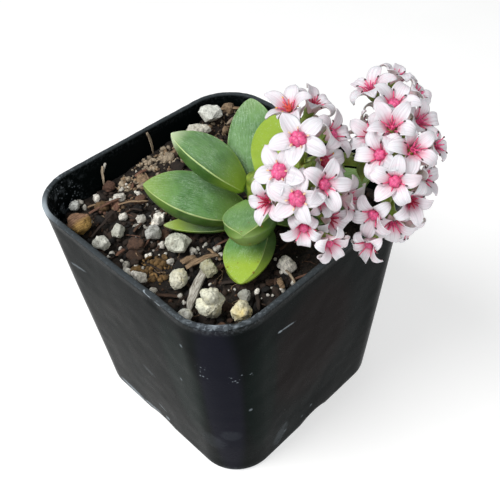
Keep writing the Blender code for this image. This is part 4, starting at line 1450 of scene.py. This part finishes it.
def petal(shape, place, turn, heading, size, bend, tints, rng):
    """One thick petal: it rises out of the throat, opens and bends back at its tip."""
    length, width = size
    opening, curl = bend
    blush, flush = tints
    r, z = PETAL_ROOT
    twist = rng.gauss(PETAL_TWIST, 11)
    phase = rng.uniform(0, 90)
    rows = []
    radial = towards(heading)
    sideways = UP.cross(radial)
    for i in range(PETAL_ROWS + 1):
        t = i / PETAL_ROWS
        limb = opening - curl * max(0.0, (t - 0.45) / 0.55) ** 1.5
        pitch = radians(PETAL_ROOT_PITCH + (limb - PETAL_ROOT_PITCH) * smoothstep(0.05, 0.45, t))
        r += cos(pitch) * length / PETAL_ROWS
        z += sin(pitch) * length / PETAL_ROWS
        half = width / 2 * petal_swell(t)
        roll = radians(twist * t)
        normal = (-radial * sin(pitch) + UP * cos(pitch)).normalized()
        across = sideways * cos(roll) + normal * sin(roll)
        over = normal * cos(roll) - sideways * sin(roll)
        row = []
        for u, v in circle(PETAL_ROUND):
            thick = PETAL_HALF_THICKNESS * v * (1 - 0.35 * abs(u))
            wave = PETAL_WAVE * noise_at(3.0 * t, u, phase) * t
            cupped = (0.52 - 0.28 * t) * half * u * u
            local = radial * r + UP * z + across * half * u + over * (cupped + thick + wave)
            values = {"along": t, "across": u, "blush": blush, "flush": flush}
            row.append(shape.point(place + turn @ local, under=smoothstep(0.1, -0.3, v), **values))
        rows.append(row)
    shape.skin(rows, PETAL_SLOT)


def blade(shape, root, direction, side, length, width, bend, material=GREEN_SLOT):
    """A small pointed sepal or bract along direction, bending towards direction x side."""
    lift = direction.cross(side).normalized()
    rows = []
    place = Vector(root)
    for i in range(BLADE_STEPS + 1):
        t = i / BLADE_STEPS
        pitch = radians(bend * t)
        ahead = direction * cos(pitch) + lift * sin(pitch)
        normal = lift * cos(pitch) - direction * sin(pitch)
        half = width / 2 * (0.55 + 0.45 * sin(pi * t)) * (1 - t**2.5) + 0.04
        row = [place + (side * x + normal * y * 0.38) * half for x, y in circle(BLADE_SIDES)]
        rows.append([shape.point(corner) for corner in row])
        place = place + ahead * length / BLADE_STEPS
    shape.skin(rows, material)


def flower_heart(shape, place, turn, eye, spread, anther, heart, rng):
    """Five carpels in the middle, with five stamens between the petals."""
    for k in range(PETALS):
        angle = 2 * pi * k / PETALS
        around = Matrix.Rotation(angle, 3, "Z")
        centre = around @ Vector((0.50 * eye, 0, 0.05))
        carpel = [share * eye for share in CARPEL_SHARES]
        tilt = turn @ around @ Matrix.Rotation(radians(CARPEL_LEAN), 3, "Y")
        colour = varied(HEART_COLOURS[heart], rng, 0.12)
        shape.lump(place + turn @ centre, carpel, tilt, rng.uniform(0, 40), 0.05, 0, 3, HEART_SLOT, colour)
        between = Matrix.Rotation(angle + pi / PETALS + rng.gauss(0, 0.12), 3, "Z")
        foot = 0.45 + 0.5 * eye
        reach = 1.25 + 1.45 * spread * rng.uniform(0.85, 1.1)
        height = 0.60 + 1.3 * spread * rng.uniform(0.7, 1.2)
        halfway = (0.4 * foot + 0.6 * reach, 0, 0.75 * height)
        knots = ((foot, 0, -0.5), (foot + 0.25, 0, 0.35), halfway, (reach, 0, height))
        route = [place + turn @ (between @ p) for p in smooth_route(knots, 3)]
        radii = [FILAMENT_RADIUS - 0.05 * i / (len(route) - 1) for i in range(len(route))]
        shape.tube(route, radii, 6, HEART_SLOT, varied(HEART_COLOURS["filament"], rng, 0.15))
        if eye < OPEN_EYE:
            style = [place + turn @ (around @ p) for p in smooth_route(STYLE_KNOTS, 3)]
            shape.tube(style, [0.20 - 0.02 * i for i in range(len(style))], 6, HEART_SLOT, colour)
        tip = turn @ between @ Matrix.Rotation(rng.gauss(0, 0.5), 3, "X")
        size = 0.9 + 0.2 * rng.random()
        half_sizes = [half * size for half in ANTHER_HALF_SIZES]
        seed = rng.uniform(0, 40)
        shape.lump(route[-1], half_sizes, tip, seed, 0.15, 0, 2, HEART_SLOT, HEART_COLOURS[anther])


def make_flower(name, place, turn, kind, replaced=()):
    """A whole flower: petals, heart and calyx."""
    length, width, opening, curl, eye, spread, anther, heart = KINDS[kind]
    rng = random.Random(name)
    shape = Shape("along", "across", "blush", "flush", "under")
    blush = rng.uniform(0.25, 0.75) + (0.15 if "right" in name else 0.05)
    facing = turn @ UP
    for k in range(PETALS):
        heading = 2 * pi * k / PETALS + rng.gauss(0, 0.05)
        size = (length * rng.uniform(0.92, 1.04), width * rng.uniform(0.88, 1.06))
        bend = (opening + rng.gauss(0, 8), curl * rng.uniform(0.5, 1.4))
        tints = (blush * rng.uniform(0.6, 1.3), smoothstep(1.3, 0.5, eye) * rng.uniform(0.7, 1.1))
        petal(shape, place, turn, heading, size, bend, tints, rng)
        out = turn @ towards(heading + pi / PETALS)
        start = place - facing * 2.1 + out * 0.62
        blade(shape, start, (facing * 0.95 + out * 0.3).normalized(), facing.cross(out), *SEPAL)
    flower_heart(shape, place, turn, eye, spread, anther, heart, rng)
    cup = [place - facing * depth for depth in CUP_DEPTHS]
    shape.tube(cup, CUP_RADII, 14, GREEN_SLOT)
    shape.done(name, [PETAL, GREEN, HEART], "petal", replaced)


def pedicel_route(hub, place, facing):
    tip = place - facing * CALYX_DEPTH
    bend = tip - facing * (tip - hub).length * PEDICEL_BEND
    return smooth_route((hub, hub.lerp(bend, 0.5), bend, tip), 5)


def make_heads():
    """Both flower heads: their flowers, and a stalk with a short branch to each flower."""
    for head in HEAD_CENTRES:
        rng = random.Random(head)
        nodes = sorted(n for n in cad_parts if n.startswith(f"flower_{head}_"))
        placements = [flower_placement(node) for node in nodes]
        for node, (place, turn) in zip(nodes, placements):
            make_flower(node + "_bloom", place, turn, FLOWER_KINDS.get(node, "star"), [node])
        added = bare_places(head, placements, rng)
        for number, (place, turn) in enumerate(added):
            make_flower(f"filling_{head}_{number + 1}", place, turn, "small")
        placements += added
        make_stalk(head, placements, rng)


def make_stalk(head, placements, rng):
    """The stalk of a head with its pairs of bracts, and a short branch with one bract to each flower."""
    shape = Shape()
    route = smooth_route(STALK_ROUTES[head], 8)
    hub = route[-1]
    radii = [STALK_RADIUS * (1.05 - 0.15 * i / len(route)) for i in range(len(route))]
    shape.tube(route, radii, 14)
    shape.lump(hub, STALK_KNOB, Matrix.Identity(3), 3.0, 0.25, detail=3)
    for share in BRACT_SHARES:
        spot = int(share * (len(route) - 1))
        ahead = (route[spot + 1] - route[spot]).normalized()
        level = ahead.cross(UP).normalized()
        for outward in (level, -level):
            direction = (outward + 0.7 * ahead).normalized()
            side = UP.cross(direction).normalized()
            blade(shape, route[spot] + 0.5 * outward, direction, side, *STALK_BRACT, 0)
    for place, turn in placements:
        path = pedicel_route(hub, place, turn @ UP)
        thick = [PEDICEL_RADIUS * (0.95 + 0.45 * (i / (len(path) - 1)) ** 3) for i in range(len(path))]
        shape.tube(path, thick, 9)
        along = (path[3] - path[2]).normalized()
        side = along.cross(UP).normalized()
        blade(shape, path[2], along, side, rng.uniform(3.0, 4.6), 1.7, rng.uniform(-30, 30), 0)
    shape.done(f"stalk_{head}", [GREEN], "stalk_green", [f"flower_stalk_{head}"])


# ----- stage

CAMERA_AT = (-73.425, -85.776, 146.489)
CAMERA_AZIMUTH = -42.924
CAMERA_ELEVATION = 43.719
CAMERA_ROLL = -3.369
CAMERA_LENS = 49.53
CAMERA_SENSOR = 36.0
CAMERA_CLIP = (0.005, 10.0)

# in metres, with the lights' powers in watts: place, size, power
LIGHTS = {
    "key": ((-0.34, 0.10, 0.52), 0.30, 3.4),
    "fill": ((-0.30, -0.45, 0.35), 0.5, 1.25),
}
LIGHT_TARGET = Vector((0, 0, 0.05))
FLOOR_HALF = 1500
WORLD_COLOUR = (0.96, 0.98, 1.0, 1.0)
WORLD_STRENGTH = 0.34


def make_camera():
    azimuth, elevation, roll = (radians(a) for a in (CAMERA_AZIMUTH, CAMERA_ELEVATION, CAMERA_ROLL))
    level = towards(azimuth)
    back = cos(elevation) * level.cross(UP) + sin(elevation) * UP
    upright = back.cross(level)
    right = level * cos(roll) + upright * sin(roll)
    camera = bpy.data.cameras.new("camera")
    camera.lens = CAMERA_LENS
    camera.sensor_width = CAMERA_SENSOR
    camera.clip_start, camera.clip_end = CAMERA_CLIP
    holder = add_object("camera", camera)
    axes = Matrix((right, back.cross(right), back)).transposed()
    holder.matrix_world = Matrix.Translation(Vector(CAMERA_AT) * MM) @ axes.to_4x4()
    bpy.context.scene.camera = holder


def add_area_light(name, place, size, power):
    light = bpy.data.lights.new(name, "AREA")
    light.size = size
    light.energy = power
    holder = add_object(name, light)
    holder.location = place
    holder.rotation_euler = (LIGHT_TARGET - Vector(place)).to_track_quat("-Z", "Y").to_euler()


def make_stage():
    bm = bmesh.new()
    bmesh.ops.create_grid(bm, x_segments=2, y_segments=2, size=FLOOR_HALF)
    floor = add_object("floor", mesh_of(bm, "floor"))
    floor.data.materials.append(floor_finish())
    world = bpy.data.worlds.new("studio")
    world.use_nodes = True
    background = world.node_tree.nodes["Background"].inputs
    background["Color"].default_value = WORLD_COLOUR
    background["Strength"].default_value = WORLD_STRENGTH
    bpy.context.scene.world = world
    for name, light in LIGHTS.items():
        add_area_light(name, *light)
    bpy.context.scene.view_settings.view_transform = "Standard"


def main():
    make_camera()
    make_pot()
    make_soil()
    make_fines()
    make_chips()
    make_perlite()
    make_splinters()
    make_fibres()
    make_stones()
    make_bark_chips()
    make_stem()
    for name in LEAVES:
        make_leaf(name)
    make_heads()
    make_stage()


main()
